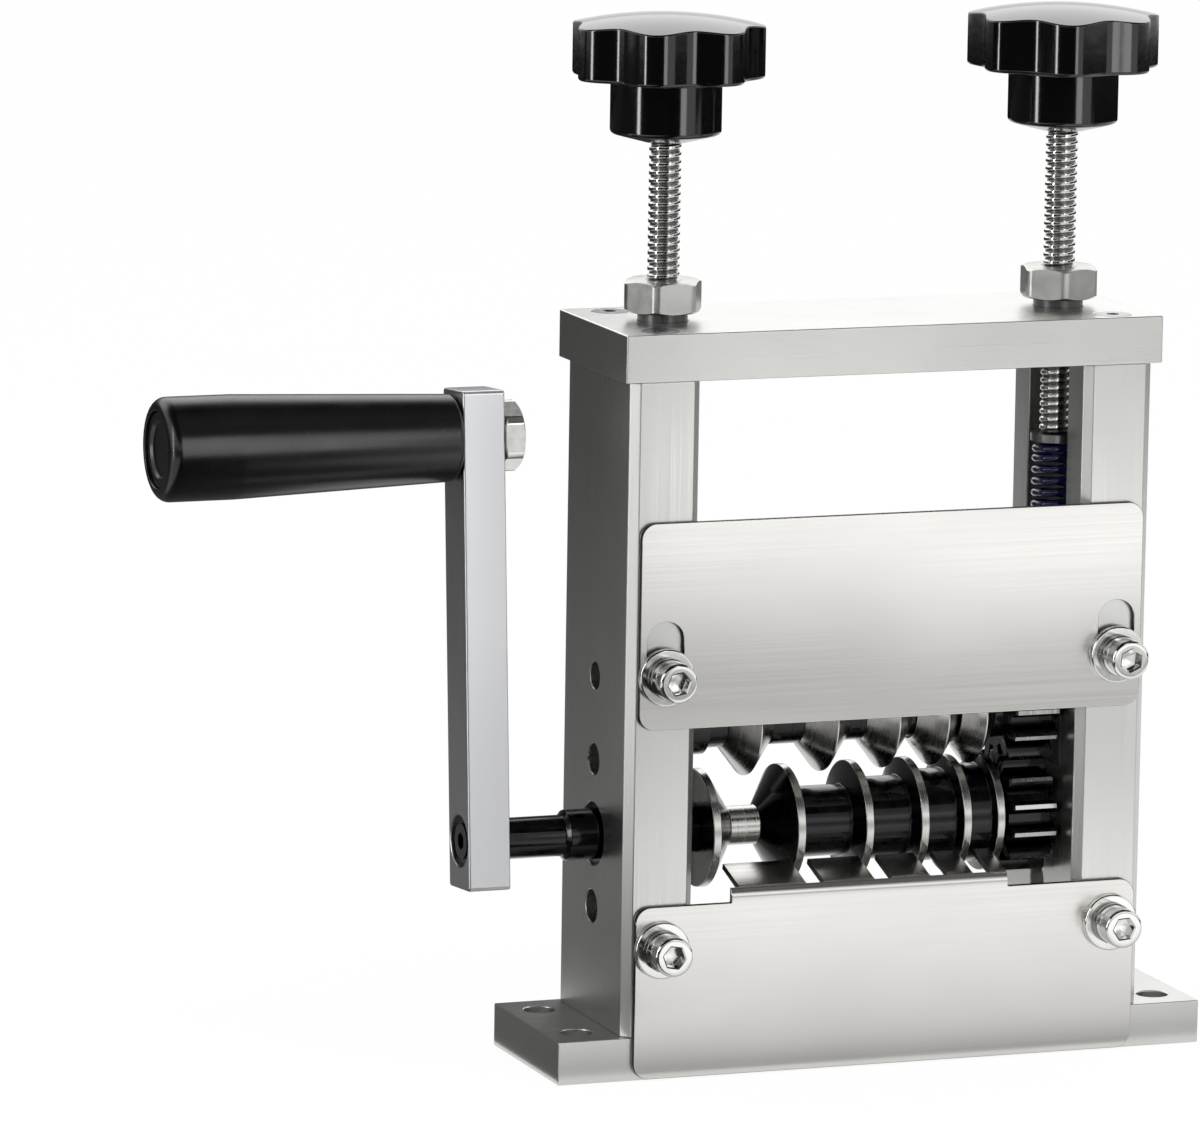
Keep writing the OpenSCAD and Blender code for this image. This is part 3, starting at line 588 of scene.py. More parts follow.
def ground_steel(name, base, centre):
    """Hardened steel ground bright on a lathe or grinder, with fine rings round its axis."""
    rings = turned_rings(centre, 0.3)
    return surface(name, base, rings, 0.25, rings, (0.16, 0.3), rings, (0.004, 0.5))


def milled_metal(name, base, roughness):
    """Plain machined metal of inner pieces, with short tool marks."""
    marks = grain((0.5, 0.5, 8))
    rough = (roughness - 0.05, roughness + 0.08)
    return surface(name, base, marks, 0.15, marks, rough, marks, (0.005, 0.5))


def moulded_phenolic(name, base):
    """Black phenolic resin moulded in a polished tool: glossy, with a very slight waviness."""
    specks = grain(0.4)
    resin = {"Metallic": 0.0, "IOR": 1.6}
    return surface(
        name, base, specks, 0.2, specks, (0.07, 0.13), grain(4, 1.0), (0.02, 0.5), extra=resin
    )


def moulded_nylon(name, base):
    """Black nylon moulded in a fine spark finish: a low sheen over a pebbled skin of 0.3 mm."""
    rubbed = grain(14)
    nylon = {"Metallic": 0.0, "IOR": 1.53}
    return surface(
        name, base, rubbed, 0.2, rubbed, (0.24, 0.3), grain(0.3), (0.01, 0.4), extra=nylon
    )


def dipped_enamel(name, base):
    """Spring wire dipped in navy enamel: deep colour under a glossy skin that pools a little."""
    pools = grain(1.2)
    glaze = {"Metallic": 0.0, "IOR": 1.5, "Coat Weight": 0.6, "Coat Roughness": 0.08}
    return surface(name, base, pools, 0.3, pools, (0.15, 0.25), pools, (0.03, 0.5), extra=glaze)


class STRIPPER_OT_frame(bpy.types.Operator):
    """Finishes the base, the two columns and the top plate."""

    bl_idname = "stripper.frame"
    bl_label = "Plates and columns"

    def execute(self, context):
        s = context.scene.stripper.plates
        level = satin_aluminium("plate_aluminium", s.frame_colour, "x")
        upright = satin_aluminium("column_aluminium", s.frame_colour, "z")
        for node in ("base_plate", "top_plate"):
            softened(node, [level], s.edge)
        for side in SIDES:
            softened("column_" + side, [upright], s.edge)
        screw = bright_zinc("zinc_countersunk_screw", linear("#A9AAAD"), 0.22)
        for corner in CORNERS:
            dress(screw, "plate_screw_" + corner, "base_screw_" + corner)
        return {"FINISHED"}


def mark_cut_edges(mesh):
    """Gives the cut finish to faces that turn away from front and back, save on the bent lip."""
    normals = np.abs(rows_of(mesh.polygons, "normal"))
    depth = rows_of(mesh.polygons, "center")[:, 1]
    past_sheet = depth.min() + 1.6 * MM
    sideways = normals[:, 0] > 0.5
    cut = (normals[:, 1] < 0.3) & ((depth < past_sheet) | sideways)
    mesh.polygons.foreach_set("material_index", cut.astype(np.int32))


class STRIPPER_OT_covers(bpy.types.Operator):
    """Finishes the two sheet metal covers."""

    bl_idname = "stripper.covers"
    bl_label = "Covers"

    def execute(self, context):
        s = context.scene.stripper.covers
        sheet = brushed_stainless("brushed_stainless_sheet", s.sheet_colour)
        cut = laser_cut_edge("laser_cut_stainless_edge", s.cut_colour)
        for node in ("upper_cover", "lower_cover"):
            mark_cut_edges(softened(node, [sheet, cut], s.edge).data)
        return {"FINISHED"}


def bolt_surface(node, s, turned):
    """Socket head bolt along Y: a turned outside, then a hexagon socket with a conical floor.

    The outside's radius is the same all round; from the socket's mouth inwards it follows the
    hexagon, with a chamfer at the mouth inside a flat land.
    """
    low, high = node_box(node)
    centre = (low + high) / 2
    head = (high[0] - low[0]) / 2
    front = low[1]
    under_head = front + 6.2 * MM
    floor = front + s.socket_depth
    land = 1.1 * MM
    chamfer_w, chamfer_h = 0.35 * MM, 0.3 * MM
    cone_share, cone_h = 0.96, 1 * MM
    angle = turn(96, turned)
    outside = rounded(
        [
            (high[1], 0, 0), (high[1], BOLT_R, 0.3 * MM), (under_head, BOLT_R, 0),
            (under_head, head, 0.2 * MM), (front, head, s.head_edge),
            (front, s.socket / 2 + land, 0),
        ]
    )
    mouth = hexagon(angle - turned, s.socket)
    rows = [
        (front, mouth + chamfer_w), (front + chamfer_h, mouth), (floor, mouth),
        (floor, mouth * cone_share), (floor + cone_h, 0 * mouth),
    ]
    shell = ring_points(outside[:, :1], outside[:, 1:], angle, centre, "y")
    socket = np.stack([ring_points(*row, angle, centre, "y") for row in rows])
    return [(np.concatenate([shell, socket]), False, True, 0)]


def washer_section(node, roundings):
    """Centre, middle diameter and cornered section of a washer along Y.

    The section starts in the middle of its front and goes round by way of its outer edge; its
    roundings are in millimetres.
    """
    low, high = node_box(node)
    outer = (high[0] - low[0]) / 2
    inner = BOLT_R + FIT
    start = (low[1], (outer + inner) / 2, 0)
    places = ((low[1], outer), (high[1], outer), (high[1], inner), (low[1], inner))
    edges = [(*place, rounding * MM) for place, rounding in zip(places, roundings)]
    return (low + high) / 2, inner + outer, [start, *edges, start]


def washer_surface(node):
    """Flat washer: a section with rounded stamped edges, turned round its axis."""
    centre, _, corners = washer_section(node, (0.45, 0.15, 0.1, 0.25))
    return [lathe(corners, centre, "y")]


def lock_washer_surface(node, split, turned):
    """Split spring washer: a square section carried round all but the split."""
    centre, width, corners = washer_section(node, (0.3, 0.3, 0.2, 0.2))
    section = rounded(corners, 3)[:-1]
    gap = split / width
    angle = turned + np.linspace(gap, 2 * np.pi - gap, 88)[:, None]
    rings = ring_points(section[:, 0], section[:, 1], angle, centre, "y")
    return [(closed_tube(rings), False, True, 0)]


class STRIPPER_OT_bolts(bpy.types.Operator):
    """Makes the four cover bolts with their lock washers and flat washers."""

    bl_idname = "stripper.bolts"
    bl_label = "Cover bolts and washers"

    def execute(self, context):
        s = context.scene.stripper.bolts
        zinc = bright_zinc("bright_zinc_bolt", s.zinc_colour)
        # The lock washers' darker grey is painted shade between bolt head and flat washer.
        spring = bright_zinc("lock_washer_zinc_painted_shade", s.lock_washer_shade_colour, 0.2)
        for corner, turned in zip(BOLTS, (0.35, 0.1, 0.7, 0.45)):
            node = "cover_bolt_" + corner
            build(node, bolt_surface(node, s, turned), [zinc])
            node = "washer_" + corner
            build(node, washer_surface(node), [zinc])
            node = "lock_washer_" + corner
            build(node, lock_washer_surface(node, s.split, 2 + 3 * turned), [spring])
        return {"FINISHED"}


def hexagon_block(low, high, flats, bore, centre, axis, turned, corner=0.3 * MM):
    """Hexagon with its corners turned off at both ends and a bore through it.

    Each column is an angle. Where the cone of 30 degrees meets a flat, the chamfer ends at the
    flat's radius, which draws the curved edge of a real nut. Sharp upright corners are cut back
    by the corner size.
    """
    reach = flats / math.sqrt(3) - corner
    side = math.acos(flats / 2 / reach)
    points_per_flat = 15
    angle = turn(6, np.pi / 6)[:, None] + np.linspace(-side, side, points_per_flat)
    angle = angle.ravel()
    radius = np.minimum(hexagon(angle, flats), reach)
    cone = math.radians(30)
    face = 0.97 * flats / 2
    fall = (radius - face) * math.tan(cone)
    lead = 0.5 * MM
    rows = [
        (low + lead, bore), (low, bore + lead), (low, face), (low + fall, radius),
        (high - fall, radius), (high, face), (high, bore + lead), (high - lead, bore),
    ]
    grid = np.stack([ring_points(*row, angle + turned, centre, axis) for row in rows])
    return (grid, True, True, 0)


def thread_surface(low, high, radius, s, centre):
    """Screw along Z: the radius falls and rises once for each pitch, moved on by the angle.

    It follows a cosine that is cut off flat, wide at the crests and narrow at the roots.
    Both ends run out to a chamfer, and close in a flat.
    """
    rows_per_pitch = 14
    angle = turn(64)
    height = np.linspace(low, high, int((high - low) / s.pitch * rows_per_pitch))[:, None]
    wave = np.cos(2 * np.pi * height / s.pitch - angle)
    depth = s.thread * (0.5 - np.clip(wave * 0.9 + 0.2, -0.5, 0.5))
    end_r = 0.8 * radius
    chamfer = np.minimum(height - low, high - height) + end_r
    grid = ring_points(height, np.minimum(radius - depth, chamfer), angle, centre, "z")
    ends = [ring_points(end, 0, angle, centre, "z")[None] for end in (low, high)]
    return (np.concatenate([ends[0], grid, ends[1]]), False, True, 0)


def star_surface(low, high, reach, turned, s, centre):
    """Star knob along Z: an outline of nominal radii, stretched outside the hub to a wave of lobes.

    The dome's height falls with the square of the true radius, so its edge rises and falls with
    the lobes.
    """
    edge = high - s.dome
    under = edge - s.head
    bore = 4.05 * MM
    bore_top = low + 12 * MM
    dome_share = math.sqrt(0.8)
    outline = rounded(
        [
            (bore_top, 0, 0), (bore_top, bore, 0), (low, bore, 0), (low, 5.5 * MM, 0.4 * MM),
            (low + 2.2 * MM, s.hub, 1.2 * MM), (under, s.hub, 1.2 * MM),
            (under, reach, 0.9 * MM), (edge, reach, 0.5 * MM),
            (edge + s.dome * 0.2, reach * dome_share, 0),
        ]
    )
    dome = np.linspace(dome_share, 0, 16)[1:, None] * [0, reach] + [high, 0]
    outline = np.concatenate([outline, dome])
    points_per_lobe = 28
    angle = turn(points_per_lobe * s.lobes, turned)
    lobed = reach - s.hollow / 2 * (1 - np.cos(s.lobes * (angle - turned)))
    height, nominal = outline[:, :1], outline[:, 1:]
    stretch = (lobed - s.hub) / (reach - s.hub)
    radius = np.where(nominal > s.hub, s.hub + (nominal - s.hub) * stretch, nominal)
    on_dome = (height >= edge) & (nominal < reach - 0.25 * MM)
    fallen = high - s.dome * (radius / reach) ** 2
    height = np.where(on_dome, fallen, height + 0 * radius)
    rim = (height > edge - 0.6 * MM) & ~on_dome
    lift = high - s.dome * (lobed / reach) ** 2 - edge
    return (ring_points(height + rim * lift, radius, angle, centre, "z"), False, True, 0)


def make_bush(node, bore, axis, finishes):
    """A hexagon on a plain round neck, both bored for the screw."""
    low, high = node_box(node)
    reach, turned = node_reach(node, axis)
    under_head = high[2] - 8 * MM
    neck_top = under_head + 0.3 * MM
    neck_r = 6.3 * MM
    start = (low[2], 5.5 * MM, 0)
    corners = [
        start, (low[2], neck_r, 0.3 * MM), (neck_top, neck_r, 0), (neck_top, bore, 0),
        (low[2], bore, 0), start,
    ]
    head = hexagon_block(under_head, high[2], reach * math.sqrt(3), bore, axis, "z", turned)
    neck = lathe(corners, axis, "z", 72)[:3]
    # The neck takes the second finish, a dark grey that paints the shade under the hexagon.
    build(node, [head, (*neck, 1)], finishes)


class STRIPPER_OT_knobs(bpy.types.Operator):
    """Makes the two star knobs, their screws and the threaded hexagon bushes."""

    bl_idname = "stripper.knobs"
    bl_label = "Knobs, screws and bushes"

    def execute(self, context):
        s = context.scene.stripper.knobs
        phenolic = moulded_phenolic("moulded_phenolic", s.phenolic_colour)
        zinc = bright_zinc("bright_zinc_bush", linear("#BEBEBB"), 0.3)
        # The neck's dark grey is painted shade under the hexagon.
        neck_painted_shade = milled_metal("neck_steel_painted_shade", linear("#5E5E5F"), 0.3)
        for side in SIDES:
            node = "knob_" + side
            axis = screw_axis(side)
            low, high = node_box(node)
            star = star_surface(low[2], high[2], *node_reach(node, axis), s, axis)
            build(node, [star], [phenolic], 40)
            node = "screw_" + side
            low, high = node_box(node)
            radius = (high[1] - low[1]) / 2
            root, crest = radius - s.thread, radius - 0.3 * s.thread
            # The thread's material paints shade into the roots, darkest at the root radius.
            plated = zinc_thread_painted_root_shade("zinc_thread_painted_root_shade_" + side, linear("#D9D9D6"), axis, root, crest)
            build(node, [thread_surface(low[2], high[2], radius, s, axis)], [plated], 60)
            make_bush("hex_bush_" + side, radius + FIT, axis, [zinc, neck_painted_shade])
        return {"FINISHED"}


def coil_surface(low, high, outer, s, centre):
    """Compression spring along Z: a round wire carried along a helix whose end turns lie closed.

    The height climbs by one wire for each end turn and evenly between them, and the bends between
    are eased over half a turn. The wire's ends are closed flat.
    """
    wire = s.wire / 2
    steps = 48
    ease = steps // 4
    turns = np.linspace(0, s.curls + 2, (s.curls + 2) * steps + 1)
    bottom, top = low + wire, high - wire
    knots = [0, 1, 1 + s.curls, s.curls + 2]
    height = np.interp(turns, knots, [bottom, bottom + s.wire, top - s.wire, top])
    window = np.ones(2 * ease + 1) / (2 * ease + 1)
    smooth = np.convolve(np.pad(height, ease, mode="edge"), window, "valid")
    angle = 2 * np.pi * turns
    radius = outer - wire
    path = np.stack([radius * np.cos(angle), radius * np.sin(angle), smooth], -1)
    ahead = np.gradient(path, axis=0)
    ahead /= np.linalg.norm(ahead, axis=1, keepdims=True)
    out = np.stack([np.cos(angle), np.sin(angle), 0 * angle], -1)
    side = np.cross(ahead, out)
    ring = turn(14)[None, :, None]
    rings = path[:, None] + wire * (np.cos(ring) * out[:, None] + np.sin(ring) * side[:, None])
    return (closed_tube(rings) + centre, False, True, 0)


class STRIPPER_OT_springs(bpy.types.Operator):
    """Makes the two springs and finishes the blocks, bearings and caps round them."""

    bl_idname = "stripper.springs"
    bl_label = "Springs and bearing blocks"

    def execute(self, context):
        s = context.scene.stripper.springs
        enamel = dipped_enamel("dipped_navy_enamel", s.enamel_colour)
        milled = milled_metal("milled_steel_block", linear("#8E8E90"), 0.32)
        bronze = milled_metal("turned_bronze_bush", linear("#B98E57"), 0.3)
        for side in SIDES:
            node = "spring_" + side
            low, high = node_box(node)
            outer = (high[1] - low[1]) / 2
            coil = coil_surface(low[2], high[2], outer, s, screw_axis(side))
            build(node, [coil], [enamel], 60)
            dress(milled, "bearing_block_" + side, "spring_cap_" + side)
            dress(bronze, "knife_bearing_" + side)
        return {"FINISHED"}


def make_shaft(s, oxide):
    """The drive shaft: a long bar, a journal in the left column, and a thin part to the right."""
    low, high = node_box("drive_shaft")
    journal = node_box("column_left")[0][0] - s.journal_out
    journal_end = node_box("feed_roller")[0][0] - FIT
    corners = [
        (low[0], 0, 0), (low[0], s.shaft, 0.4 * MM), (journal, s.shaft, 0.6 * MM),
        (journal + 1 * MM, s.journal, 0.3 * MM), (journal_end, s.journal, 0.3 * MM),
        (journal_end, s.inner_shaft, 0), (high[0], s.inner_shaft, 0.5 * MM), (high[0], 0, 0),
    ]
    build("drive_shaft", [lathe(corners, DRIVE_AXIS, "x")], [oxide])


def make_axle(zinc):
    """The handle's axle with its head, and the nut that holds it to the arm."""
    low, high = node_box("handle_nut")
    arm_face = node_box("crank_arm")[1][0]
    flats = 16 * MM
    upright = np.pi / 2 - CRANK_LEAN
    bore = AXLE_R + FIT
    block = hexagon_block(
        arm_face, high[0], flats, bore, HANDLE_AXIS, "x", upright, corner=0.4 * MM
    )
    build("handle_nut", [block], [zinc])
    low, high = node_box("handle_axle")
    head_r = 8 * MM
    head_end = low[0] + 5 * MM
    corners = [
        (low[0], 0, 0), (low[0], head_r, 0.6 * MM), (head_end, head_r, 0.3 * MM),
        (head_end, AXLE_R, 0), (high[0], AXLE_R, 0.6 * MM), (high[0], 0, 0),
    ]
    build("handle_axle", [lathe(corners, HANDLE_AXIS, "x", 72)], [zinc])


def make_grip(s, nylon):
    """The sleeve with a pocket for the axle's head, and the cap that closes the pocket."""
    low, high = node_box("grip")
    cap_low, cap_high = node_box("grip_cap")
    cap = (cap_high[2] - cap_low[2]) / 2 + FIT
    bore = AXLE_R + FIT
    pocket = 8.3 * MM
    pocket_end = cap_high[0] + 5.6 * MM
    taper_start = low[0] + (high[0] - low[0]) / 4
    start = (cap_high[0], pocket, 0)
    corners = [
        start, (cap_high[0], cap, 0), (low[0], cap, 0.4 * MM),
        (low[0], s.grip_tip, s.grip_round), (taper_start, s.grip_tip, 30 * MM),
        (high[0], s.grip_root, 1.5 * MM), (high[0], bore, 0.3 * MM), (pocket_end, bore, 0),
        (pocket_end, pocket, 0), start,
    ]
    build("grip", [lathe(corners, HANDLE_AXIS, "x", 128, 8)], [nylon])
    face = cap_low[0] + 0.8 * MM
    edge = cap - 0.1 * MM
    corners = [
        (face, 0, 0), (face, cap - 3 * MM, 0.6 * MM), (cap_low[0], cap - 2.2 * MM, 0.4 * MM),
        (cap_low[0], edge, 0.4 * MM), (cap_high[0], edge, 0), (cap_high[0], 0, 0),
    ]
    build("grip_cap", [lathe(corners, HANDLE_AXIS, "x", 128)], [nylon])


class STRIPPER_OT_crank(bpy.types.Operator):
    """Makes the drive shaft, the crank arm, the handle's axle and nut, and the grip."""

    bl_idname = "stripper.crank"
    bl_label = "Crank and grip"

    def execute(self, context):
        settings = context.scene.stripper
        s = settings.crank
        oxide = black_oxide("black_oxide_shaft", settings.cutting.oxide_colour, DRIVE_AXIS, 0.2)
        zinc = bright_zinc("bright_zinc_nut", settings.bolts.zinc_colour, 0.16)
        nylon = moulded_nylon("moulded_nylon", s.grip_colour)
        satin = tumbled_aluminium("arm_aluminium", settings.plates.arm_colour)
        softened("crank_arm", [satin], settings.plates.arm_edge)
        dress(black_oxide("black_oxide_screw", linear("#3A3A3B"), DRIVE_AXIS, 0.25), "crank_screw")
        make_shaft(s, oxide)
        make_axle(zinc)
        make_grip(s, nylon)
        return {"FINISHED"}


def roller_surface(s, bore):
    """Feed roller along X: rims with a groove under each knife, turned round the drive axis.

    A knife spans from the middle of one rim to the middle of the next, so its box places the
    groove. The rims and the middle of the first core are ground bright.
    """
    low, high = node_box("feed_roller")
    rim = (high[2] - low[2]) / 2
    edge = 0.25 * MM
    start = (low[0], (bore + rim) / 2, 0)
    corners = [start, (low[0], rim, edge)]
    for node, core, flank in zip(KNIVES, s.cores, s.flanks):
        knife = node_box(node)
        left, right = knife[0][0] + s.rim / 2, knife[1][0] - s.rim / 2
        slope = (right - left) * flank
        corners += [
            (left, rim, edge), (left + slope, core * rim, 0.5 * MM),
            (right - slope, core * rim, 0.5 * MM), (right, rim, edge),
        ]
    corners += [(high[0], rim, edge), (high[0], bore, 0), (low[0], bore, 0), start]
    first = node_box(KNIVES[0])

    def bright(along, radius):
        share = (along - first[0][0]) / (first[1][0] - first[0][0])
        in_middle = (share > 0.33) & (share < 0.67)
        on_core = (radius < s.cores[0] * rim + edge) & (radius > bore + edge)
        return (radius > rim - 1.2 * edge) | (in_middle & on_core)

    return [lathe(corners, DRIVE_AXIS, "x", 144, 4, bright)]


def knife_surface(node, s, bore):
    """Disc knife along X: a hub between two ground bevels that meet in a narrow edge."""
    low, high = node_box(node)
    radius = (high[2] - low[2]) / 2
    run = (high[0] - low[0] - s.knife_tip) / 2
    root = max(s.knife_hub, radius - s.bevel * run)
    flat = run - (radius - root) / s.bevel
    wide = flat > 0.5 * MM
    start = (low[0], (bore + root) / 2, 0)
    corners = [
        start, (low[0], root, 0.1 * MM * wide), (low[0] + flat, root, 0.4 * MM * wide),
        (low[0] + run, radius, 0.05 * MM), (high[0] - run, radius, 0.05 * MM),
        (high[0] - flat, root, 0.4 * MM * wide), (high[0], root, 0.1 * MM * wide),
        (high[0], bore, 0), (low[0], bore, 0), start,
    ]
    ground = root + 0.45 * (radius - root)
    return [lathe(corners, KNIFE_AXIS, "x", 144, 3, lambda along, height: height > ground)]


def tooth_outline(s):
    """Angle and radius of each point round a spur gear, one tooth after another.

    A flank is an involute of the base circle: its angle at a radius is tan(p) - p, where cos(p)
    is base over radius. Below the base circle the flank runs straight to the root.
    """
    pitch = s.gear_module * s.gear_teeth / 2
    pitch_pressure = math.radians(20)
    base = pitch * math.cos(pitch_pressure)
    root = pitch - 1.25 * s.gear_module
    points_per_flank = 9
    radius = np.linspace(root, pitch + s.gear_module, points_per_flank)
    pressure = np.arccos(np.minimum(base / np.maximum(radius, base), 1))
    backlash = 0.1 * MM / pitch
    half = np.pi / 2 / s.gear_teeth - backlash + math.tan(pitch_pressure) - pitch_pressure
    half = half - (np.tan(pressure) - pressure)
    flank_angle = np.concatenate([-half, half[::-1]])
    flank_radius = np.concatenate([radius, radius[::-1]])
    angle = (turn(s.gear_teeth)[:, None] + flank_angle).ravel()
    return angle, np.tile(flank_radius, s.gear_teeth)


def gear_surface(node, s, bore, centre, turned):
    """Spur gear with a hub on its left, both bored, and a small chamfer at each tooth's ends."""
    low, high = node_box(node)
    face = high[0] - s.gear_width
    angle, radius = tooth_outline(s)
    chamfer = 0.5 * MM
    rows = [
        (face, bore), (face, radius - chamfer), (face + chamfer, radius),
        (high[0] - chamfer, radius), (high[0], radius - chamfer), (high[0], bore),
    ]
    grid = np.stack([ring_points(*row, angle + turned, centre, "x") for row in rows])
    inside = (bore + s.gear_hub) / 2
    start = (face, inside, 0)
    hub = [start, (low[0], inside, 0), (low[0], s.gear_hub, 0.4 * MM), (face, s.gear_hub, 0), start]
    return [(grid, True, True, 0), lathe(hub, centre, "x")]


def brighten_lands(piece, centre, tip):
    """Gives the second finish to the lands on a gear's teeth: faces that lie at the tip radius."""
    middles = rows_of(piece.data.polygons, "center") - centre
    on_land = np.hypot(middles[:, 1], middles[:, 2]) > tip - 0.12 * MM
    piece.data.polygons.foreach_set("material_index", on_land.astype(np.int32))


class STRIPPER_OT_cutting(bpy.types.Operator):
    """Makes the feed roller, the disc knives and the gears, and finishes shaft and bearings."""

    bl_idname = "stripper.cutting"
    bl_label = "Roller, knives and gears"

    def execute(self, context):
        s = context.scene.stripper.cutting
        drive = [
            black_oxide("black_oxide_roller", s.oxide_colour, DRIVE_AXIS),
            ground_steel("ground_steel_roller", s.ground_colour, DRIVE_AXIS),
        ]
        driven = [
            black_oxide("black_oxide_knife", s.oxide_colour, KNIFE_AXIS),
            ground_steel("ground_steel_knife", s.ground_colour, KNIFE_AXIS),
        ]
        roller_bore = 3.5 * MM + FIT
        knife_bore = AXLE_R + FIT
        build("feed_roller", roller_surface(s, roller_bore), drive)
        for node in KNIVES:
            build(node, knife_surface(node, s, knife_bore), driven, 25)
        tip = s.gear_module * (s.gear_teeth / 2 + 1)
        quarter = np.pi / 2
        for node, axis, turned, bore, finishes in (
            ("drive_gear", DRIVE_AXIS, quarter, roller_bore, drive),
            ("driven_gear", KNIFE_AXIS, np.pi / s.gear_teeth - quarter, knife_bore, driven),
        ):
            gear = build(node, gear_surface(node, s, bore, axis, turned), finishes, 25)
            brighten_lands(gear, axis, tip)
        dress(driven[0], "knife_shaft", "knife_collar")
        dress(drive[0], *("drive_bearing_" + side for side in SIDES))
        return {"FINISHED"}


def plane(name, centre, size, normal):
    """A flat stage piece of a width and height that faces along normal."""
    mesh = bpy.data.meshes.new(name)
    flat = np.array([[-1, -1], [1, -1], [1, 1], [-1, 1]]) * np.array(size) / 2
    basis = np.array(Vector(normal).to_track_quat("Z", "Y").to_matrix())
    mesh.from_pydata(flat @ basis[:, :2].T + centre, [], [(0, 1, 2, 3)])
    sheet = link(name, mesh)
    return sheet


def card_glow(name, axis, stops):
    """A card whose glow runs through the given (place, strength) stops along an axis."""
    material = new_material(name)
    first, last = stops[0][0], stops[-1][0]
    top = max(strength for _, strength in stops)
    place = add(material, "TexCoord").outputs["Object"]
    split = add(material, "SeparateXYZ", links={0: place}).outputs
    limits = {"From Min": first, "From Max": last}
    share = add(material, "MapRange", limits, {"Value": split["xyz".index(axis)]})
    ramp = add(material, "ValToRGB", links={0: share})
    for spot, _ in stops[1:-1]:
        ramp.color_ramp.elements.new((spot - first) / (last - first))
    for element, (_, strength) in zip(ramp.color_ramp.elements, stops):
        element.color = [strength / top] * 3 + [1]
    glow = add(material, "Emission", {"Strength": top}, {"Color": ramp})
    add(material, "OutputMaterial", links={"Surface": glow})
    material.cycles.emission_sampling = "NONE"
    return material


def seen_rays(owner):
    """1 for rays from the camera or from a mirror or through glass, otherwise 0."""
    path = add(owner, "LightPath").outputs
    seen = path["Is Camera Ray"]
    for ray in ("Is Glossy Ray", "Is Transmission Ray"):
        seen = add(owner, "Math", links={0: seen, 1: path[ray]}, operation="MAXIMUM")
    return seen


def make_camera(context, s):
    """A long lens from the left of the front, a little above and slightly tilted."""
    data = bpy.data.cameras.new("camera")
    data.lens = s.lens
    data.sensor_width = 36
    data.clip_end = 50
    camera = link("camera", data)
    side, ahead = math.sin(s.azimuth), math.cos(s.azimuth)
    level = math.cos(s.elevation)
    back = Vector((-side * level, -ahead * level, math.sin(s.elevation)))
    right = Vector((ahead, -side, 0))
    basis = Matrix((right, back.cross(right), back)).transposed()
    rolled = basis @ Matrix.Rotation(s.roll, 3, "Z")
    place = Matrix.Translation((s.camera_x, s.camera_y, s.camera_z))
    camera.matrix_world = place @ rolled.to_4x4()
    context.scene.camera = camera


def make_world(context, s):
    """White where it is seen or mirrored, and softer as a light."""
    world = bpy.data.worlds.new("studio")
    context.scene.world = world
    world.use_nodes = True
    world.node_tree.nodes.clear()
    light = add(world, "Background", {"Color": WHITE, "Strength": s.ambient})
    white = add(world, "Background", {"Color": WHITE, "Strength": 1.0})
    mix = add(world, "MixShader", links={0: seen_rays(world), 1: light, 2: white})
    add(world, "OutputWorld", links={"Surface": mix})


def make_floor():
    """A pale floor that keeps a soft shadow of the object: mostly a glow where it is seen."""
    floor = plane("floor", (0, 0, 0), (16, 16), (0, 0, 1))
    pale = new_material("pale_floor")
    share = add(pale, "Math", {1: 0.9}, {0: seen_rays(pale)}, operation="MULTIPLY")
    matt = add(pale, "BsdfDiffuse", {"Color": (0.95, 0.95, 0.95, 1)})
    glow = add(pale, "Emission", {"Color": WHITE, "Strength": 1.04})
    mix = add(pale, "MixShader", links={0: share, 1: matt, 2: glow})
    add(pale, "OutputMaterial", links={"Surface": mix})
    floor.data.materials.append(pale)


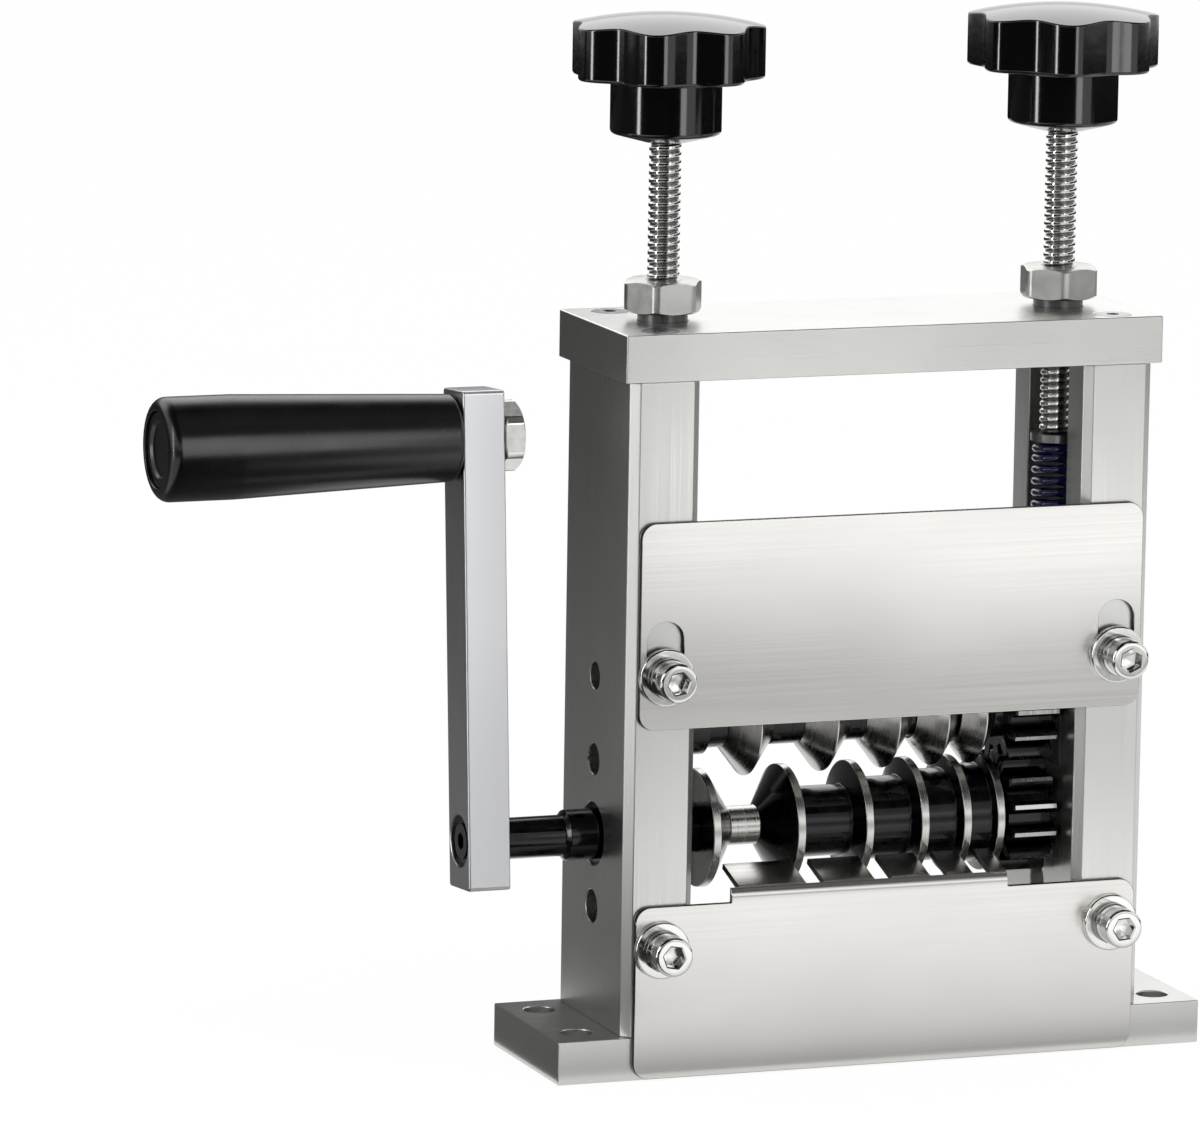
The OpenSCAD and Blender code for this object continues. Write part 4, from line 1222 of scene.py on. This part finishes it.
def make_cards():
    """Cards that only mirrors see: pale ones that the front mirrors, and dark ones round it.

    The pale ones brighten and darken with height as the covers, columns and arm do.
    """
    near = card_glow("near_dark_card", "z", ((0, 0.2), (0.17, 0.045)))
    ground = card_glow("ground_dark_card", "y", ((-0.25, 0.015), (0.05, 0.13)))
    dark = card_glow("far_dark_card", "z", ((0, 0.01), (1, 0.01)))
    strip = card_glow("strip_card", "z", ((0, 3.6), (1, 3.6)))
    soft = card_glow("soft_box", "z", ((0.5, 1.6), (1.6, 2.2)))
    arm_stops = ((0, 1.4), (0.05, 0.75), (0.11, 0.7), (0.15, 0.6), (0.2, 0.55))
    arm = card_glow("arm_card", "z", arm_stops)
    fill_stops = ((0, 1.6), (0.035, 0.9), (0.06, 0.38), (0.1, 1.65), (0.13, 1.7))
    fill = card_glow("fill_card", "z", (*fill_stops, (0.15, 0.85), (0.2, 0.8)))
    bright_stops = ((0, 1.9), (0.03, 0.68), (0.058, 0.5), (0.1, 2), (0.13, 0.85))
    bright = card_glow("bright_card", "z", (*bright_stops, (0.15, 0.75), (0.2, 0.7)))
    bounce = card_glow("bounce_card", "y", ((-0.2, 1.5), (-0.06, 0.86), (-0.03, 0.45)))
    foot = card_glow("foot_card", "z", ((0, 0.9), (0.01, 1.1)))
    up, to_front, to_back = (0, 0, 1), (0, -1, 0), (0, 1, 0)
    for name, finish, centre, size, normal in (
        ("card_left", near, (-0.4, 0.16, 0.11), (0.8, 0.22), to_front),
        ("card_ground_left", ground, (-0.194, 0.05, 0.0006), (0.212, 0.22), up),
        ("card_ground_front", ground, (-0.1725, -0.58, 0.0006), (0.255, 1.04), up),
        ("card_ground_far", ground, (0.2775, -0.665, 0.0006), (0.645, 0.87), up),
        ("card_arm", arm, (-0.021, -0.22, 0.1), (0.026, 0.2), to_back),
        ("card_fill", fill, (0.036, -0.22, 0.1), (0.088, 0.2), to_back),
        ("card_bright", bright, (0.1725, -0.22, 0.1), (0.185, 0.2), to_back),
        ("card_bounce", bounce, (0.115, -0.125, 0.0007), (0.31, 0.19), up),
        ("card_foot", bounce, (-0.075, -0.045, 0.0007), (0.07, 0.03), up),
        ("card_foot_front", foot, (-0.065, -0.06, 0.004), (0.07, 0.008), to_back),
        ("card_strip", strip, (0.292, -1.215, 0.45), (0.26, 0.9), (-0.234, 0.972, 0)),
        ("card_overhead", dark, (0, -0.85, 1.0), (2.2, 2.7), (0, 0, -1)),
        ("card_soft_box", soft, (0, 1.6, 1.35), (3.2, 1.6), to_front),
    ):
        show_to_mirrors(plane(name, centre, size, normal), finish)
    far = 1.15
    for name, start, end, height in (
        ("card_front", -164, -84, 0.3),
        ("card_back", -50, 187, 0.14),
    ):
        angle = np.radians(np.linspace(start, end, 40))
        wall = ring_points(np.array([[0.0], [height]]), far, angle, np.zeros(3), "z")
        mesh = bpy.data.meshes.new(name)
        faces = grid_faces(*wall.shape[:2], False, False)
        mesh.from_pydata(wall.reshape(-1, 3), [], faces.tolist())
        ring = link(name, mesh)
        show_to_mirrors(ring, dark)


def show_to_mirrors(card, finish):
    """Gives a card its finish and hides it from all but mirrored rays."""
    card.data.materials.append(finish)
    for ray in ("camera", "diffuse", "shadow", "transmission"):
        setattr(card, "visible_" + ray, False)


def make_lamps():
    """An upright strip on the left of the camera, and a soft lamp above."""
    for name, place, target, size, power in (
        ("strip_left", (-1.176, -0.239, 0.45), (0, 0, 0.45), (0.12, 0.9), 3.2),
        ("soft_top", (0.4, -0.7, 1.6), (0, 0, 0.1), (0.8, 0.8), 4.0),
    ):
        data = bpy.data.lights.new(name, "AREA")
        data.shape = "RECTANGLE"
        data.size, data.size_y = size
        data.energy = power
        lamp = link(name, data)
        lamp.location = place
        aim = Vector(target) - Vector(place)
        lamp.rotation_euler = aim.to_track_quat("-Z", "Y").to_euler()


class STRIPPER_OT_stage(bpy.types.Operator):
    """Sets up the camera, the lamps, the pale floor and background, and the cards."""

    bl_idname = "stripper.stage"
    bl_label = "Stage"

    def execute(self, context):
        s = context.scene.stripper.stage
        context.scene.view_settings.view_transform = "Standard"
        make_camera(context, s)
        make_world(context, s)
        make_floor()
        make_cards()
        make_lamps()
        return {"FINISHED"}


class STRIPPER_PT_panel(bpy.types.Panel):
    """Lists the steps and the sizes that can be changed."""

    bl_label = "Wire stripper"
    bl_idname = "STRIPPER_PT_panel"
    bl_space_type = "VIEW_3D"
    bl_region_type = "UI"
    bl_category = "Wire stripper"

    def draw(self, context):
        for operator in OPERATORS:
            self.layout.operator(operator.bl_idname)
        for name, group in GROUPS.items():
            box = self.layout.box()
            box.label(text=name.capitalize())
            for key in group.__annotations__:
                box.prop(getattr(context.scene.stripper, name), key)


OPERATORS = (
    STRIPPER_OT_stage, STRIPPER_OT_frame, STRIPPER_OT_covers, STRIPPER_OT_bolts,
    STRIPPER_OT_knobs, STRIPPER_OT_springs, STRIPPER_OT_crank, STRIPPER_OT_cutting,
)
CLASSES = (*GROUPS.values(), StripperSettings, *OPERATORS, STRIPPER_PT_panel)


def register():
    for kind in CLASSES:
        bpy.utils.register_class(kind)
    bpy.types.Scene.stripper = PointerProperty(type=StripperSettings)


def unregister():
    del bpy.types.Scene.stripper
    for kind in reversed(CLASSES):
        bpy.utils.unregister_class(kind)


def main():
    """Makes the whole scene."""
    register()
    for operator in OPERATORS:
        getattr(bpy.ops.stripper, operator.bl_idname.split(".")[1])()


if __name__ == "__main__":
    main()
